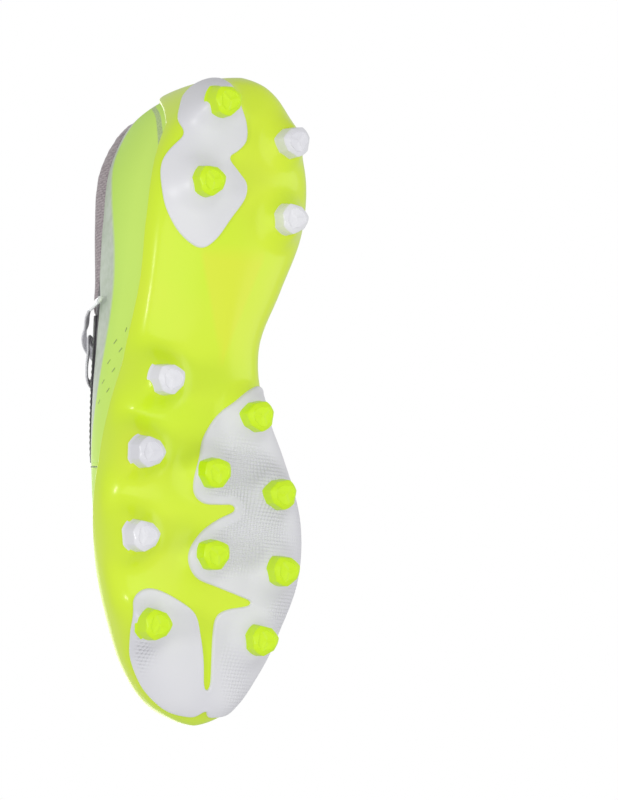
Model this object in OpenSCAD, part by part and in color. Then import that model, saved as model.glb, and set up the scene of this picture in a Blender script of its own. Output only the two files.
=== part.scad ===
// Left soccer cleat with a moulded stud plate. Heel to toe runs along +Y, the inner (medial) side is +X,
// and the stud tips stand on Z = 0. Every shell follows one foot shape: a row of cross-sections.

/* [Overall] */
// Length of the upper, heel to toe
cleat_length = 288; // [220:1:330]
// Width of the upper at the ball of the foot
ball_width = 95; // [76:0.5:116]
// Height of the heel of the upper above the plate
heel_height = 104; // [85:1:125]

/* [Sole plate] */
// Thickness of the stud plate
plate_t = 2.4; // [1.6:0.1:3.4]
// Thickness of the white sole inlays
inlay_t = 0.8; // [0.5:0.1:1.2]
// Height of a stud below the lowest point of the plate
stud_h = 12; // [8:0.5:15]
// Radius of a stud near its tip
stud_tip_r = 5.2; // [4:0.1:5.6]
// Radius of a stud where it leaves the plate
stud_root_r = 6.4; // [6:0.1:7.2]
// Radius of the skirt that blends a stud into the plate
stud_skirt_r = 7.4; // [7.2:0.1:9]

/* [Upper] */
// Thickness of the knitted and coated upper
skin_t = 1.2; // [0.8:0.1:1.6]
// Thickness of the heel stiffener and the toe puff
stiffener_t = 1.1; // [0.7:0.1:1.4]
// Thickness of the padded heel lining
pad_t = 3.2; // [2:0.1:5]
// Thickness of the collar roll
collar_t = 6.5; // [4:0.5:8]
// Thickness of the tongue
tongue_t = 3; // [2:0.1:4]
// Thickness of the lacing panels beside the throat
eyestay_t = 0.8; // [0.5:0.1:1.2]

/* [Footbed] */
// Thickness of the lasting board
board_t = 1.3; // [0.8:0.1:1.8]
// Thickness of the sockliner
sock_t = 3; // [2:0.1:5]

/* [Laces] */
// Width of the lace
lace_w = 4.5; // [3.5:0.1:5.5]
// Thickness of the lace
lace_t = 1.2; // [0.8:0.1:1.6]
// Diameter of the lace where it hangs free in the bow
free_lace_d = 3; // [2.4:0.1:3.2]

/* [Fits] */
// Glue line between one layer and the next
glue = 0.2; // [0.15:0.05:0.3]

/* [Hidden] */

volt = "#c9ee32";
lime = "#bde566";
white = "#dedee2";
charcoal = "#3d3b3f";
grey = "#b9c3b6";
pink_grey = "#a59a9c";

// The foot shape, heel to toe, on a cleat 288 long, 95 wide at the ball and 104 high at the heel:
// place along the length, outer and inner half-width, height of the bottom, of the widest line and
// of the top, sideways shift of the centre, and squareness of the part above the widest line.
form = [
    [0, 0, 0, 14, 24, 102, 7, 2.4],
    [4, 15.5, 14, 6, 21, 103, 6, 2.4],
    [16, 24, 27, 1, 19, 104, 3, 2.5],
    [40, 33, 39, 0, 18, 104, 1, 2.5],
    [66, 36, 40, 0.5, 19, 100, 0, 2.5],
    [92, 36.5, 32, 3, 21, 96, 0, 2.4],
    [118, 38, 24, 5.5, 24, 91, 0, 2.3],
    [144, 42, 27.5, 5, 23, 81, 0, 2.2],
    [170, 46.5, 38.5, 2, 19, 68, 0, 2.1],
    [196, 47.5, 47.5, 0, 16, 55, 0, 2.1],
    [222, 44.5, 47.5, 1, 16, 47, 1, 2.2],
    [246, 38, 38.5, 4, 18, 42, 3, 2.3],
    [266, 30, 28.5, 8, 21, 38, 5, 2.3],
    [281, 18.5, 16.5, 13, 23, 33.5, 7, 2.2],
    [288, 0, 0, 21, 24, 27, 8, 2]];
form_length = 288;
form_ball_width = 95;
form_heel_height = 104;
low_squareness = 3;
heel_lean = 16;
heel_lean_end = 70;
heel_lean_height = 90;
toe_s = len(form) - 1;
ring_s = 2 * toe_s;

// The form is set over the origin so that the whole cleat is centred on it
centre = [-1.15, 0.32, 0];

scale_l = cleat_length / form_length;
scale_w = ball_width / form_ball_width;
scale_h = heel_height / form_heel_height;
// Height of the inside of the plate at its lowest point
floor_z = stud_h + plate_t;

// The cross-sections at whole numbers. Past the heel and the toe the curve turns back on the other
// side, so that both ends are round.
function mirrored(i) = let (f = form[i]) [f[0], -f[2], -f[1], f[3], f[4], f[5], f[6], f[7]];
function station(i) = i < 0 ? mirrored(-i) : i > toe_s ? mirrored(2 * toe_s - i) : form[i];
// A smooth curve through the cross-sections
function section(k) =
    let (i = floor(k), t = k - i,
         p0 = station(i - 1), p1 = station(i), p2 = station(i + 1), p3 = station(i + 2))
    0.5 * (2 * p1 + (p2 - p0) * t + (2 * p0 - 5 * p1 + 4 * p2 - p3) * t * t
        + (3 * p1 - p0 - 3 * p2 + p3) * t * t * t);
// A point of a cross-section: turn is 0 at the bottom centre, 90 at the widest line, 180 at the top
function on_section(f, turn) =
    let (t = turn > 180 ? turn - 360 : turn < -180 ? turn + 360 : turn,
         side = t < 0 ? -1 : 1, up = abs(t) - 90, low = up < 0,
         n = low ? low_squareness : f[7], w = (side < 0 ? f[1] : f[2]) * scale_w,
         h = low ? f[4] - f[3] : (f[5] - f[4]) * scale_h, c = abs(cos(up)), s = sin(up),
         r = 1 / pow(pow(c, n) + pow(abs(s), n), 1 / n), z = f[4] + h * r * s,
         back = low || f[0] > heel_lean_end ? 0 :
             heel_lean * pow((z - f[4]) / heel_lean_height, 2) * pow(1 - f[0] / heel_lean_end, 2))
    [f[6] * scale_w + side * w * r * c, (f[0] - form_length / 2) * scale_l + back, z + floor_z];
// A point at a height off the form, along its outward normal
step = 0.01;
function off_form(k, turn, off) =
    let (kk = min(max(k, 2 * step), toe_s - 2 * step), p = on_section(section(k), turn),
         a = on_section(section(kk + step), turn) - on_section(section(kk - step), turn),
         b = on_section(section(kk), turn + 0.1) - on_section(section(kk), turn - 0.1), n = cross(a, b))
    p + off * n / norm(n);
// The way round the shoe: 0 at the heel, toe_s at the toe, the outer side below 0 or above toe_s
function round_k(s) = s < 0 ? -s : s > toe_s ? ring_s - s : s;
function round_side(s) = (s < 0 || s > toe_s) ? -1 : 1;
function around(s, turn, off) = off_form(round_k(s), round_side(s) * turn, off);
// Edge curves are looked up by the same way round, from -toe_s to toe_s
function edge(table, s) = lookup(s > toe_s ? s - ring_s : s, table);

// Places of the columns of every shell along the way round
half_ring = concat([0, 0.12, 0.3, 0.55, 0.8], [for (k = [1:0.5:toe_s - 1]) k],
    [toe_s - 0.7, toe_s - 0.4, toe_s - 0.15]);
full_ring = concat(half_ring, [toe_s], [for (i = [len(half_ring) - 1:-1:1]) ring_s - half_ring[i]]);
function stretch(a, b) = concat([a],
    [for (i = [len(half_ring) - 1:-1:1]) let (s = -half_ring[i]) if (s > a + 0.1 && s < b - 0.1) s],
    [for (s = full_ring) if (s > a + 0.1 && s < b - 0.1) s], [b]);

// Faces of a sheet of columns and rows with thickness: the outer points come first, then the inner.
// closed joins the last column to the first; bridge joins the last row to itself across the middle.
function triangles(faces) =
    [for (f = faces) each len(f) == 4 ? [[f[0], f[1], f[2]], [f[0], f[2], f[3]]] : [f]];
function flipped(faces) = [for (f = faces) [for (i = [len(f) - 1:-1:0]) f[i]]];
function sheet_faces(nc, nr, closed, bridge) = triangles(sheet_quads(nc, nr, closed, bridge));
function sheet_quads(nc, nr, closed, bridge) =
    let (n = nc * nr, m = closed ? nc : nc - 1, half = closed ? nc / 2 : floor((nc - 1) / 2))
    concat(
        [for (i = [0:m - 1], j = [0:nr - 2]) let (i2 = (i + 1) % nc)
            [i * nr + j, i2 * nr + j, i2 * nr + j + 1, i * nr + j + 1]],
        [for (i = [0:m - 1], j = [0:nr - 2]) let (i2 = (i + 1) % nc)
            [n + i * nr + j + 1, n + i2 * nr + j + 1, n + i2 * nr + j, n + i * nr + j]],
        [for (i = [0:m - 1]) let (i2 = (i + 1) % nc)
            [n + i * nr, n + i2 * nr, i2 * nr, i * nr]],
        bridge ? [] : [for (i = [0:m - 1]) let (i2 = (i + 1) % nc)
            [i * nr + nr - 1, i2 * nr + nr - 1, n + i2 * nr + nr - 1, n + i * nr + nr - 1]],
        closed ? [] : [for (j = [0:nr - 2]) [j, j + 1, n + j + 1, n + j]],
        closed ? [] : [for (j = [0:nr - 2])
            [n + m * nr + j, n + m * nr + j + 1, m * nr + j + 1, m * nr + j]],
        !bridge ? [] : closed ?
            concat(
                [for (i = [0:half - 1]) let (a = i, b = i + 1, c = nc - i - 1, d = (nc - i) % nc, e = nr - 1)
                    i == 0 ? [a * nr + e, b * nr + e, c * nr + e] :
                    i == half - 1 ? [a * nr + e, b * nr + e, d * nr + e] :
                    [a * nr + e, b * nr + e, c * nr + e, d * nr + e]],
                [for (i = [0:half - 1])
                    let (a = i, b = i + 1, c = nc - i - 1, d = (nc - i) % nc, e = n + nr - 1)
                    i == 0 ? [c * nr + e, b * nr + e, a * nr + e] :
                    i == half - 1 ? [d * nr + e, b * nr + e, a * nr + e] :
                    [d * nr + e, c * nr + e, b * nr + e, a * nr + e]]) :
            concat(
                [for (i = [0:half - 1]) let (a = i, b = i + 1, c = nc - 2 - i, d = nc - 1 - i, e = nr - 1)
                    b == c ? [a * nr + e, b * nr + e, d * nr + e] :
                    [a * nr + e, b * nr + e, c * nr + e, d * nr + e]],
                [for (i = [0:half - 1]) let (a = i, b = i + 1, c = nc - 2 - i, d = nc - 1 - i, e = n + nr - 1)
                    b == c ? [d * nr + e, b * nr + e, a * nr + e] :
                    [d * nr + e, c * nr + e, b * nr + e, a * nr + e]],
                [[nr - 1, nc * nr - 1, n + nc * nr - 1, n + nr - 1]]));

// A shell between two heights off the form. turns(s) gives the rows of each column, edge to edge.
module shell(columns, low, high, rows, inner, outer, closed = false, bridge = false) {
    turns = [for (s = columns) let (a = edge(low, s), b = edge(high, s))
        [for (j = [0:rows]) a + (b - a) * j / rows]];
    points = concat(
        [for (i = [0:len(columns) - 1]) for (t = turns[i]) around(columns[i], t, outer)],
        [for (i = [0:len(columns) - 1]) for (t = turns[i]) around(columns[i], t, inner)]);
    faces = sheet_faces(len(columns), rows + 1, closed, bridge);
    polyhedron(points, closed ? faces : flipped(faces), convexity = 6);
}

function level(turn) = [[-toe_s, turn], [toe_s, turn]];

// ---- edges of the pieces, by the way round ----
seam = 0.03;
vamp_back = 8.2;
rim = [[-14, 116], [-13, 113], [-12, 109], [-11, 105], [-10, 101], [-9, 97], [-8, 90], [-7, 81], [-6, 72],
    [-5, 68], [-4, 70], [-3.4, 74], [-3, 79], [-2.5, 88], [-2, 98], [-1.4, 111], [-1, 117], [0, 122],
    [1, 117], [1.4, 111], [2, 99], [2.5, 90], [3, 83], [4, 78], [5, 76], [6, 77], [7, 82], [8, 90], [9, 97],
    [10, 101], [11, 105], [12, 109], [13, 113], [14, 116]];
feather = 63;
topline = [[-vamp_back, 164], [-7, 155], [-6, 147], [-5.6, 140], [-5, 133], [-4, 131], [-3, 135], [-2, 141],
    [-1, 146], [0, 148], [1, 146], [2, 141], [3, 135], [4, 131], [5, 133], [5.6, 140], [6, 147], [7, 155],
    [vamp_back, 164]];
collar_end = 5.6;
collar_drop = 11;
eyestay_back = 5.6;
eyestay_front = 8.1;
eyestay_low = 124;
edge_gap = 1;
function lowered(table, by) = [for (p = table) [p[0], p[1] - by]];
// The quarters stop below the collar roll, and reach the throat edge in front of it
quarter_top = [for (p = topline) [p[0], abs(p[0]) <= collar_end ? p[1] - collar_drop : p[1]]];

module sole_plate() {
    color(volt) shell(full_ring, rim, level(5), 12, 0, plate_t, closed = true, bridge = true);
}

// ---- inlays: a slab on the underside, cut to its outline seen from below ----
// A smooth closed curve through a few points
function smooth(p, n = 4) = [for (i = [0:len(p) - 1], t = [0:1 / n:0.99])
    let (m = len(p), a = p[(i + m - 1) % m], b = p[i], c = p[(i + 1) % m], d = p[(i + 2) % m])
    0.5 * (2 * b + (c - a) * t + (2 * a - 5 * b + 4 * c - d) * t * t + (3 * b - a - 3 * c + d) * t * t * t)];
function placed(p) = [for (q = p) [q[0] * scale_w, (q[1] - form_length / 2) * scale_l]];
heel_outline = [[-2, -4], [-15, -1], [-24, 8], [-26.5, 15], [-24, 22], [-23.5, 28], [-27.5, 34], [-31, 41],
    [-32, 50], [-30.5, 62], [-25, 72], [-16, 77.5], [-9, 73.5], [-2, 63], [4, 54], [4.5, 47], [0, 42],
    [-5, 36.5], [-1, 33], [3, 28], [2.5, 20], [3.5, 8], [4, -3]];
forefoot_outline = [[17, 136], [8.5, 141.5], [-2, 152.5], [-9.5, 165], [-13.5, 177], [-12.5, 186],
    [-7, 190.5], [2, 190.7], [8, 190.5], [9, 193], [1, 197], [-8, 203], [-13, 210], [-13, 217], [-7.5, 223.5],
    [4, 227], [14, 230], [21.5, 232.5], [20, 234.5], [10, 236.5], [5, 240], [4.5, 248], [6, 260], [7.5, 270],
    [6.5, 273], [4.5, 270], [2, 259], [-1.5, 248], [-5.5, 239], [-14, 233.5], [-25, 229], [-31.5, 229.5],
    [-34.8, 235],
    [-33.5, 246], [-28.5, 259], [-20, 272], [-9, 281.2], [3, 284], [8.5, 281.5], [12, 284], [24, 281],
    [38, 268], [52, 240], [58, 205], [54, 170], [38, 151], [27.5, 138.5], [22.5, 134]];
inlay_rim = [[-14, 96], [-9, 84], [-1, 70], [1, 70], [6, 78], [13, 84], [14, 96]];
module inlay(outline) {
    resize([0, 0, 0]) intersection() {
        shell(full_ring, inlay_rim, level(5), 12, plate_t + glue / 2, plate_t + glue / 2 + inlay_t,
            closed = true, bridge = true);
        linear_extrude(floor_z + 40) polygon(placed(smooth(outline)));
    }
}
module heel_inlay() { color(white) inlay(heel_outline); }
module forefoot_inlay() { color(white) inlay(forefoot_outline); }

// ---- studs: rounded three-lobed blocks that taper to a flat tip ----
// Name, colour, X, place along the length, height of the tip off the ground, turn
studs = [
    ["stud_heel_back_outer", volt, -13, 12.5, 0, -20],
    ["stud_heel_front_outer", volt, -18.5, 48.5, 0, -15],
    ["stud_heel_back_inner", white, 23, 26.5, 0, -55],
    ["stud_heel_front_inner", white, 24.5, 61, 0, -8],
    ["stud_arch_outer", white, -31, 137, 2, -22],
    ["stud_ball_back_outer", white, -39.5, 169.5, 0, -2],
    ["stud_ball_front_outer", white, -39.5, 206, 0, -8],
    ["stud_arch_inner", volt, 15, 150, 2, -55],
    ["stud_centre_back", volt, -6, 176.5, 0, -30],
    ["stud_ball_back_inner", volt, 28, 184, 0, -53],
    ["stud_centre_front", volt, -4, 212.5, 0, -30],
    ["stud_ball_front_inner", volt, 32, 218, 0, -16],
    ["stud_toe_outer", volt, -28.5, 244.5, 4, -3],
    ["stud_toe_inner", volt, 25.5, 249.5, 4, -8]];
stud_sides = 12;
// Room between a stud's skirt and the curved surface that it stands on
stud_gap = 0.4;
stud_lobe = 0.09;
// Rings from the root down: radius, and share of the height below the skirt
function stud_rings() = [[stud_root_r, 0.2], [(stud_root_r + stud_tip_r) / 2 + 0.2, 0.55],
    [stud_tip_r + 0.2, 0.9], [stud_tip_r - 0.6, 1]];
// Cross-section at a place along the length, found by halving
function k_at(u, lo = 0, hi = toe_s, n = 16) = n == 0 ? (lo + hi) / 2 :
    let (m = (lo + hi) / 2) section(m)[0] < u ? k_at(u, m, hi, n - 1) : k_at(u, lo, m, n - 1);
// Height of the form over a point of the sole, and of a surface at a distance below it
function form_z(x, y) =
    let (f = section(k_at(y / scale_l + form_length / 2)), dx = x - f[6] * scale_w,
         c = min(abs(dx) / ((dx < 0 ? f[1] : f[2]) * scale_w), sole_reach))
    floor_z + f[4] - (f[4] - f[3]) * pow(1 - pow(c, low_squareness), 1 / low_squareness);
function sole_z(x, y, off) =
    let (rise_x = form_z(x + 0.5, y) - form_z(x - 0.5, y), rise_y = form_z(x, y + 0.5) - form_z(x, y - 0.5))
    form_z(x, y) - off * norm([rise_x, rise_y, 1]);
// The nearest point of the sole that a stud's skirt may stand on, and its height
sole_reach = 0.98;
skirt_reach = 0.92;
skirt_end = 7;
function on_sole(p, off) =
    let (y = max(p[1], (skirt_end - form_length / 2) * scale_l),
         f = section(k_at(y / scale_l + form_length / 2)), m = f[6] * scale_w,
         low = m - skirt_reach * f[1] * scale_w, high = m + skirt_reach * f[2] * scale_w,
         x = min(max(p[0], low), high))
    [x, y, sole_z(x, y, off)];
function stud_ring(x, y, r, turn) = [for (i = [0:stud_sides - 1])
    let (a = i * 360 / stud_sides, q = r * (1 + stud_lobe * cos(3 * (a - turn))))
    [x + q * cos(a), y + q * sin(a)]];
module stud(s) {
    x = s[2] * scale_w;
    y = (s[3] - form_length / 2) * scale_l;
    base = plate_t + stud_gap + (s[1] == volt ? inlay_t : 0);
    skirt = [for (p = stud_ring(x, y, stud_skirt_r, s[5])) on_sole(p, base)];
    root = sole_z(x, y, base);
    rings = [for (g = stud_rings()) let (z = root + (s[4] - root) * g[1])
        [for (p = stud_ring(x, y, g[0], s[5])) [p[0], p[1], z]]];
    all = concat([skirt], rings);
    points = concat([for (ring = all) for (p = ring) p], [[x, y, root]]);
    n = stud_sides;
    faces = concat(
        [for (j = [0:len(all) - 2], i = [0:n - 1])
            [j * n + i, j * n + (i + 1) % n, (j + 1) * n + (i + 1) % n, (j + 1) * n + i]],
        [for (i = [0:n - 1]) [(i + 1) % n, i, len(all) * n]], [[for (i = [0:n - 1]) (len(all) - 1) * n + i]]);
    color(s[1]) polyhedron(points, triangles(faces), convexity = 3);
}

// ---- footbed ----
module lasting_board() {
    color("#d8d4c8") shell(full_ring, level(feather - 3), level(5), 7, -glue - board_t, -glue,
        closed = true, bridge = true);
}
module sockliner() {
    color("#cfd3d6") shell(full_ring, level(feather - 1), level(5), 7, -2 * glue - board_t - sock_t,
        -2 * glue - board_t, closed = true, bridge = true);
}

// ---- upper ----
module vamp() {
    color(grey) shell(stretch(vamp_back + seam, ring_s - vamp_back - seam), level(feather), level(175), 14,
        -glue - skin_t, -glue, bridge = true);
}
module quarter(a, b) {
    shell(stretch(a, b), level(feather), quarter_top, 11, -glue - skin_t, -glue);
}
module lateral_quarter() { color(lime) quarter(-vamp_back, -seam); }
module medial_quarter() { color(lime) quarter(seam, vamp_back); }
stiffener_out = -2 * glue - skin_t;
module heel_stiffener() {
    color("#e8e2d0") shell(stretch(-3, 3), level(feather + 5), level(122), 6,
        stiffener_out - stiffener_t, stiffener_out);
}
module toe_puff() {
    color("#e8e2d0") shell(stretch(12.4, ring_s - 12.4), level(feather + 5), level(140), 6,
        stiffener_out - stiffener_t, stiffener_out);
}
lining_out = stiffener_out - stiffener_t - glue;
module heel_lining() {
    color(charcoal) shell(stretch(-5, 5), level(100), lowered(topline, collar_drop + edge_gap), 6,
        lining_out - pad_t, lining_out);
}
collar_proud = 0.6;
module collar() {
    color(pink_grey) shell(stretch(0.1 - collar_end, collar_end - 0.1),
        lowered(topline, collar_drop - edge_gap), topline, 4, -collar_t, collar_proud);
}
// A strip over the top of the foot, from one turn across to the other
module strip(k_list, half_widths, cols, inner, outer) {
    n = cols + 1;
    turns = [for (h = half_widths) [for (j = [0:cols]) 180 - h + 2 * h * j / cols]];
    points = concat(
        [for (i = [0:len(k_list) - 1]) for (t = turns[i]) off_form(k_list[i], t, outer)],
        [for (i = [0:len(k_list) - 1]) for (t = turns[i]) off_form(k_list[i], t, inner)]);
    polyhedron(points, flipped(sheet_faces(len(k_list), n, false, false)), convexity = 6);
}
// Room under the upper for the lace ends that pass over the tongue
tongue_room = 0.8;
tongue_out = -glue - skin_t - tongue_room;
tongue_fold = 5.8;
tongue_gap = 0.04;
module tongue_base() {
    ks = [tongue_fold + tongue_gap, 6.2, 6.7, 7.2, 7.6, 8, 8.5, 9];
    color(charcoal) strip(ks, [for (k = ks) min(38, 38 - (k - 7.2) * 9)], 12,
        tongue_out - tongue_t, tongue_out);
}
tongue_tip = 4.6;
module tongue_top() {
    ks = [tongue_tip, 4.7, 4.9, 5.2, 5.5, tongue_fold - tongue_gap];
    color(charcoal) strip(ks, [21, 25, 28, 30, 31, 32], 12,
        tongue_out - tongue_t, tongue_out);
}
label_t = 0.6;
module tongue_label() {
    color(grey) strip([4.95, 5.1, 5.25, 5.4], [13, 14, 14, 13], 6,
        tongue_out + glue / 2, tongue_out + glue / 2 + label_t);
}
module eyestay(a, b) {
    shell(stretch(a, b), level(eyestay_low), lowered(topline, edge_gap), 5, glue / 2, glue / 2 + eyestay_t);
}
module eyestay_lateral() { color(charcoal) eyestay(-eyestay_front, -eyestay_back); }
module eyestay_medial() { color(charcoal) eyestay(eyestay_back, eyestay_front); }

// ---- laces ----
// Rows of holes up the throat, and how far from its edge they lie
hole_rows = [7.9, 7.5, 7.1, 6.7, 6.3];
hole_inset = 5;
// The two stretches that share a hole lie this far before and behind it
lace_step = 0.1;
lace_low = glue + eyestay_t;
lace_high = lace_low + lace_t + 0.3;
function hole_turn(k) = edge(topline, k) - hole_inset;
// One length of lace across the throat, from the hole at k1 on the outer side to k2 on the inner side
module lace_crossing(k1, k2, low) {
    n = 12;
    half = lace_w / 2 / 26 / scale_l;
    rows = [for (i = [0:n]) let (t = i / n, k = k1 + (k2 - k1) * t,
        turn = -hole_turn(k1) + (hole_turn(k2) + hole_turn(k1) - 360) * t)
        [k, turn < -180 ? turn + 360 : turn]];
    points = concat(
        [for (r = rows) off_form(r[0] - half, r[1], low + lace_t)],
        [for (r = rows) off_form(r[0] + half, r[1], low + lace_t)],
        [for (r = rows) off_form(r[0] + half, r[1], low)],
        [for (r = rows) off_form(r[0] - half, r[1], low)]);
    m = n + 1;
    faces = concat(
        [for (q = [0:3], i = [0:n - 1]) let (a = q * m + i, b = (q + 1) % 4 * m + i) [a, a + 1, b + 1, b]],
        [[0, m, 2 * m, 3 * m], [3 * m + n, 2 * m + n, m + n, n]]);
    polyhedron(points, flipped(triangles(faces)), convexity = 4);
}
module lace_rows() {
    color(white) {
        lace_crossing(hole_rows[0] + lace_step, hole_rows[0] + lace_step, lace_low);
        for (i = [0:len(hole_rows) - 2]) {
            lace_crossing(hole_rows[i] - lace_step, hole_rows[i + 1] + lace_step, lace_low);
            lace_crossing(hole_rows[i + 1] + lace_step, hole_rows[i] - lace_step, lace_high);
        }
    }
}

// The free ends of the lace lie on the upper: points of their middle line, chosen by hand
loop_outer = [[-3, -18, 110.5], [-11, -21, 109.5], [-17.5, -23, 106.5], [-22.5, -25, 102], [-27, -26, 96],
    [-31.5, -24.5, 88], [-34, -19.5, 82], [-35, -13, 80.5], [-33, -7.5, 83.5], [-28.5, -5, 89],
    [-24, -6, 96], [-18, -8.5, 102], [-11.5, -11, 106.5], [-3, -14, 109]];
loop_inner = [[3, -18, 110.5], [9, -21, 109.5], [13.5, -23, 106], [16.5, -25, 101], [19, -26, 95],
    [21.5, -24.5, 88], [23, -19.5, 82], [23.5, -13, 80], [22.5, -8, 83], [20, -5.5, 88.5],
    [17.5, -6.5, 95.5], [13.5, -8.5, 101.5], [9, -11, 106], [3, -14, 109]];
tail_outer = [[-3, -14.5, 113], [-13.5, -17.5, 112.5], [-19.5, -21, 110], [-24.5, -24.5, 105.5],
    [-28, -28.5, 100], [-30, -32, 94], [-32.5, -36.5, 88.5], [-34.5, -39.5, 82]];
tail_inner = [[3, -14.5, 113], [11, -17.5, 112], [15.5, -21, 109], [19, -24, 104.5], [21, -27.5, 99],
    [22.5, -31.5, 93.5], [24.5, -35.5, 88], [27.5, -38.5, 82]];
tube_sides = 8;
function open_smooth(p, n) = concat([for (i = [0:len(p) - 2], t = [0:1 / n:0.99])
    let (a = p[max(i - 1, 0)], b = p[i], c = p[i + 1], d = p[min(i + 2, len(p) - 1)])
    0.5 * (2 * b + (c - a) * t + (2 * a - 5 * b + 4 * c - d) * t * t + (3 * b - a - 3 * c + d) * t * t * t)],
    [p[len(p) - 1]]);
function unit(v) = v / norm(v);
function along(p, i) = unit(p[min(i + 1, len(p) - 1)] - p[max(i - 1, 0)]);
// Sideways directions carried along the tube without twist
function carried(p, i, v) = let (t = along(p, i), w = unit(v - (v * t) * t))
    i == len(p) - 1 ? [w] : concat([w], carried(p, i + 1, w));
module tube(p, d) {
    side = carried(p, 0, [0, 0.2, 1]);
    n = tube_sides;
    points = [for (i = [0:len(p) - 1]) let (t = along(p, i), u = side[i], v = cross(t, u))
        for (j = [0:n - 1]) p[i] + d / 2 * (cos(j * 360 / n) * u + sin(j * 360 / n) * v)];
    polyhedron(points, triangles(concat(
        [for (i = [0:len(p) - 2], j = [0:n - 1])
            [i * n + (j + 1) % n, i * n + j, (i + 1) * n + j, (i + 1) * n + (j + 1) % n]],
        [[for (j = [0:n - 1]) j]], [[for (j = [n - 1:-1:0]) (len(p) - 1) * n + j]])), convexity = 6);
}
module free_lace(p) { color(white) tube(open_smooth(p, 2), free_lace_d); }
knot_at = [0, -16.2, 111.2];
knot_size = [8, 9, 5.2];
module lace_knot() {
    color(white) translate(knot_at) hull() {
        linear_extrude(knot_size[2], center = true)
            offset(2, $fn = 16) square([knot_size[0] - 5, knot_size[1] - 5], center = true);
        linear_extrude(knot_size[2] / 2, center = true)
            offset(2, $fn = 16) square([knot_size[0] - 4, knot_size[1] - 4], center = true);
    }
}
module lace_loop_lateral() { free_lace(loop_outer); }
module lace_loop_medial() { free_lace(loop_inner); }
module lace_tail_lateral() { free_lace(tail_outer); }
module lace_tail_medial() { free_lace(tail_inner); }
// Each aglet is a hard sleeve that goes on from the end of its tail, with room for the bend between them
aglet_d = 3;
aglet_gap = free_lace_d / 5;
aglet_outer_end = [-39.5, -43, 62];
aglet_inner_end = [32.5, -41.5, 62];
module aglet(from, to) {
    v = to - from;
    color("#c8ccd0") translate(from) rotate([0, acos(v[2] / norm(v)), atan2(v[1], v[0])])
        translate([0, 0, aglet_gap]) cylinder(h = norm(v) - aglet_gap, d = aglet_d, $fn = 32);
}
module aglet_lateral() { aglet(tail_outer[len(tail_outer) - 1], aglet_outer_end); }
module aglet_medial() { aglet(tail_inner[len(tail_inner) - 1], aglet_inner_end); }

translate(centre) sole_plate();
translate(centre) heel_inlay();
translate(centre) forefoot_inlay();
for (s = studs) translate(centre) stud(s);
translate(centre) lasting_board();
translate(centre) sockliner();
translate(centre) heel_stiffener();
translate(centre) toe_puff();
translate(centre) vamp();
translate(centre) lateral_quarter();
translate(centre) medial_quarter();
translate(centre) heel_lining();
translate(centre) collar();
translate(centre) tongue_base();
translate(centre) tongue_top();
translate(centre) tongue_label();
translate(centre) eyestay_lateral();
translate(centre) eyestay_medial();
translate(centre) lace_rows();
translate(centre) lace_knot();
translate(centre) lace_loop_lateral();
translate(centre) lace_loop_medial();
translate(centre) lace_tail_lateral();
translate(centre) lace_tail_medial();
translate(centre) aglet_lateral();
translate(centre) aglet_medial();
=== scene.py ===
# %% [markdown]
# # A left soccer cleat, dressed over its CAD frame
# The CAD model gives every piece its place and size. Here each visible piece is made again at a finer
# scale, with the soft shapes and surface finishes that a CAD solid leaves out: the flares under the
# studs, the rounded lips of the inlays, the padded collar, the flat braided lace.
# The first cell loads the frame and keeps the CAD parts.

# %% Load the frame
import math

import bpy
import numpy as np
from mathutils import Matrix, Vector, geometry, kdtree


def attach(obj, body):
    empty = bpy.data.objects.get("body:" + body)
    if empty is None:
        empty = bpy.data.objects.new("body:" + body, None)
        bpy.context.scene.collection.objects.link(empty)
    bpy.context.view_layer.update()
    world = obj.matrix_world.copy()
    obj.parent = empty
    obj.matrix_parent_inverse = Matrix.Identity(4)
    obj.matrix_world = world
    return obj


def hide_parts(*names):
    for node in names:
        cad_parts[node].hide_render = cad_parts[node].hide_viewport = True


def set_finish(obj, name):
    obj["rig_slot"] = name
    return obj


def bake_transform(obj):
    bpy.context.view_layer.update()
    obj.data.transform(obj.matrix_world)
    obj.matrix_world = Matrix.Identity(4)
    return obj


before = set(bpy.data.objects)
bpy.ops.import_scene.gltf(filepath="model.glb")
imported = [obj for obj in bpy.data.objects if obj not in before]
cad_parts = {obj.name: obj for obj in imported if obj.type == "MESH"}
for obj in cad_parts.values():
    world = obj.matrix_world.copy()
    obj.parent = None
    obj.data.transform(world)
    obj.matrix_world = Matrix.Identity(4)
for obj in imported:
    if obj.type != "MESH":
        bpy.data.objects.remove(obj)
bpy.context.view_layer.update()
MM = 0.001

# %% [markdown]
# ## The camera
# The cleat is seen from below with its outer side turned a little towards us, toe down. A long lens
# keeps the studs from spreading. The camera looks past the cleat's inner side, so that the cleat
# stands left of the middle of the frame with no lens shift.

# %% Camera
CAMERA_DISTANCE = 1.4
ROLL_FROM_BELOW = math.radians(28)
PITCH = math.radians(-2)
PICTURE_ROLL = math.radians(3.8)
AIM = Vector((-0.0011, 0.0003, 0.040))
SIDE_ROOM = 0.0520
LENS = 139.3

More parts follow.
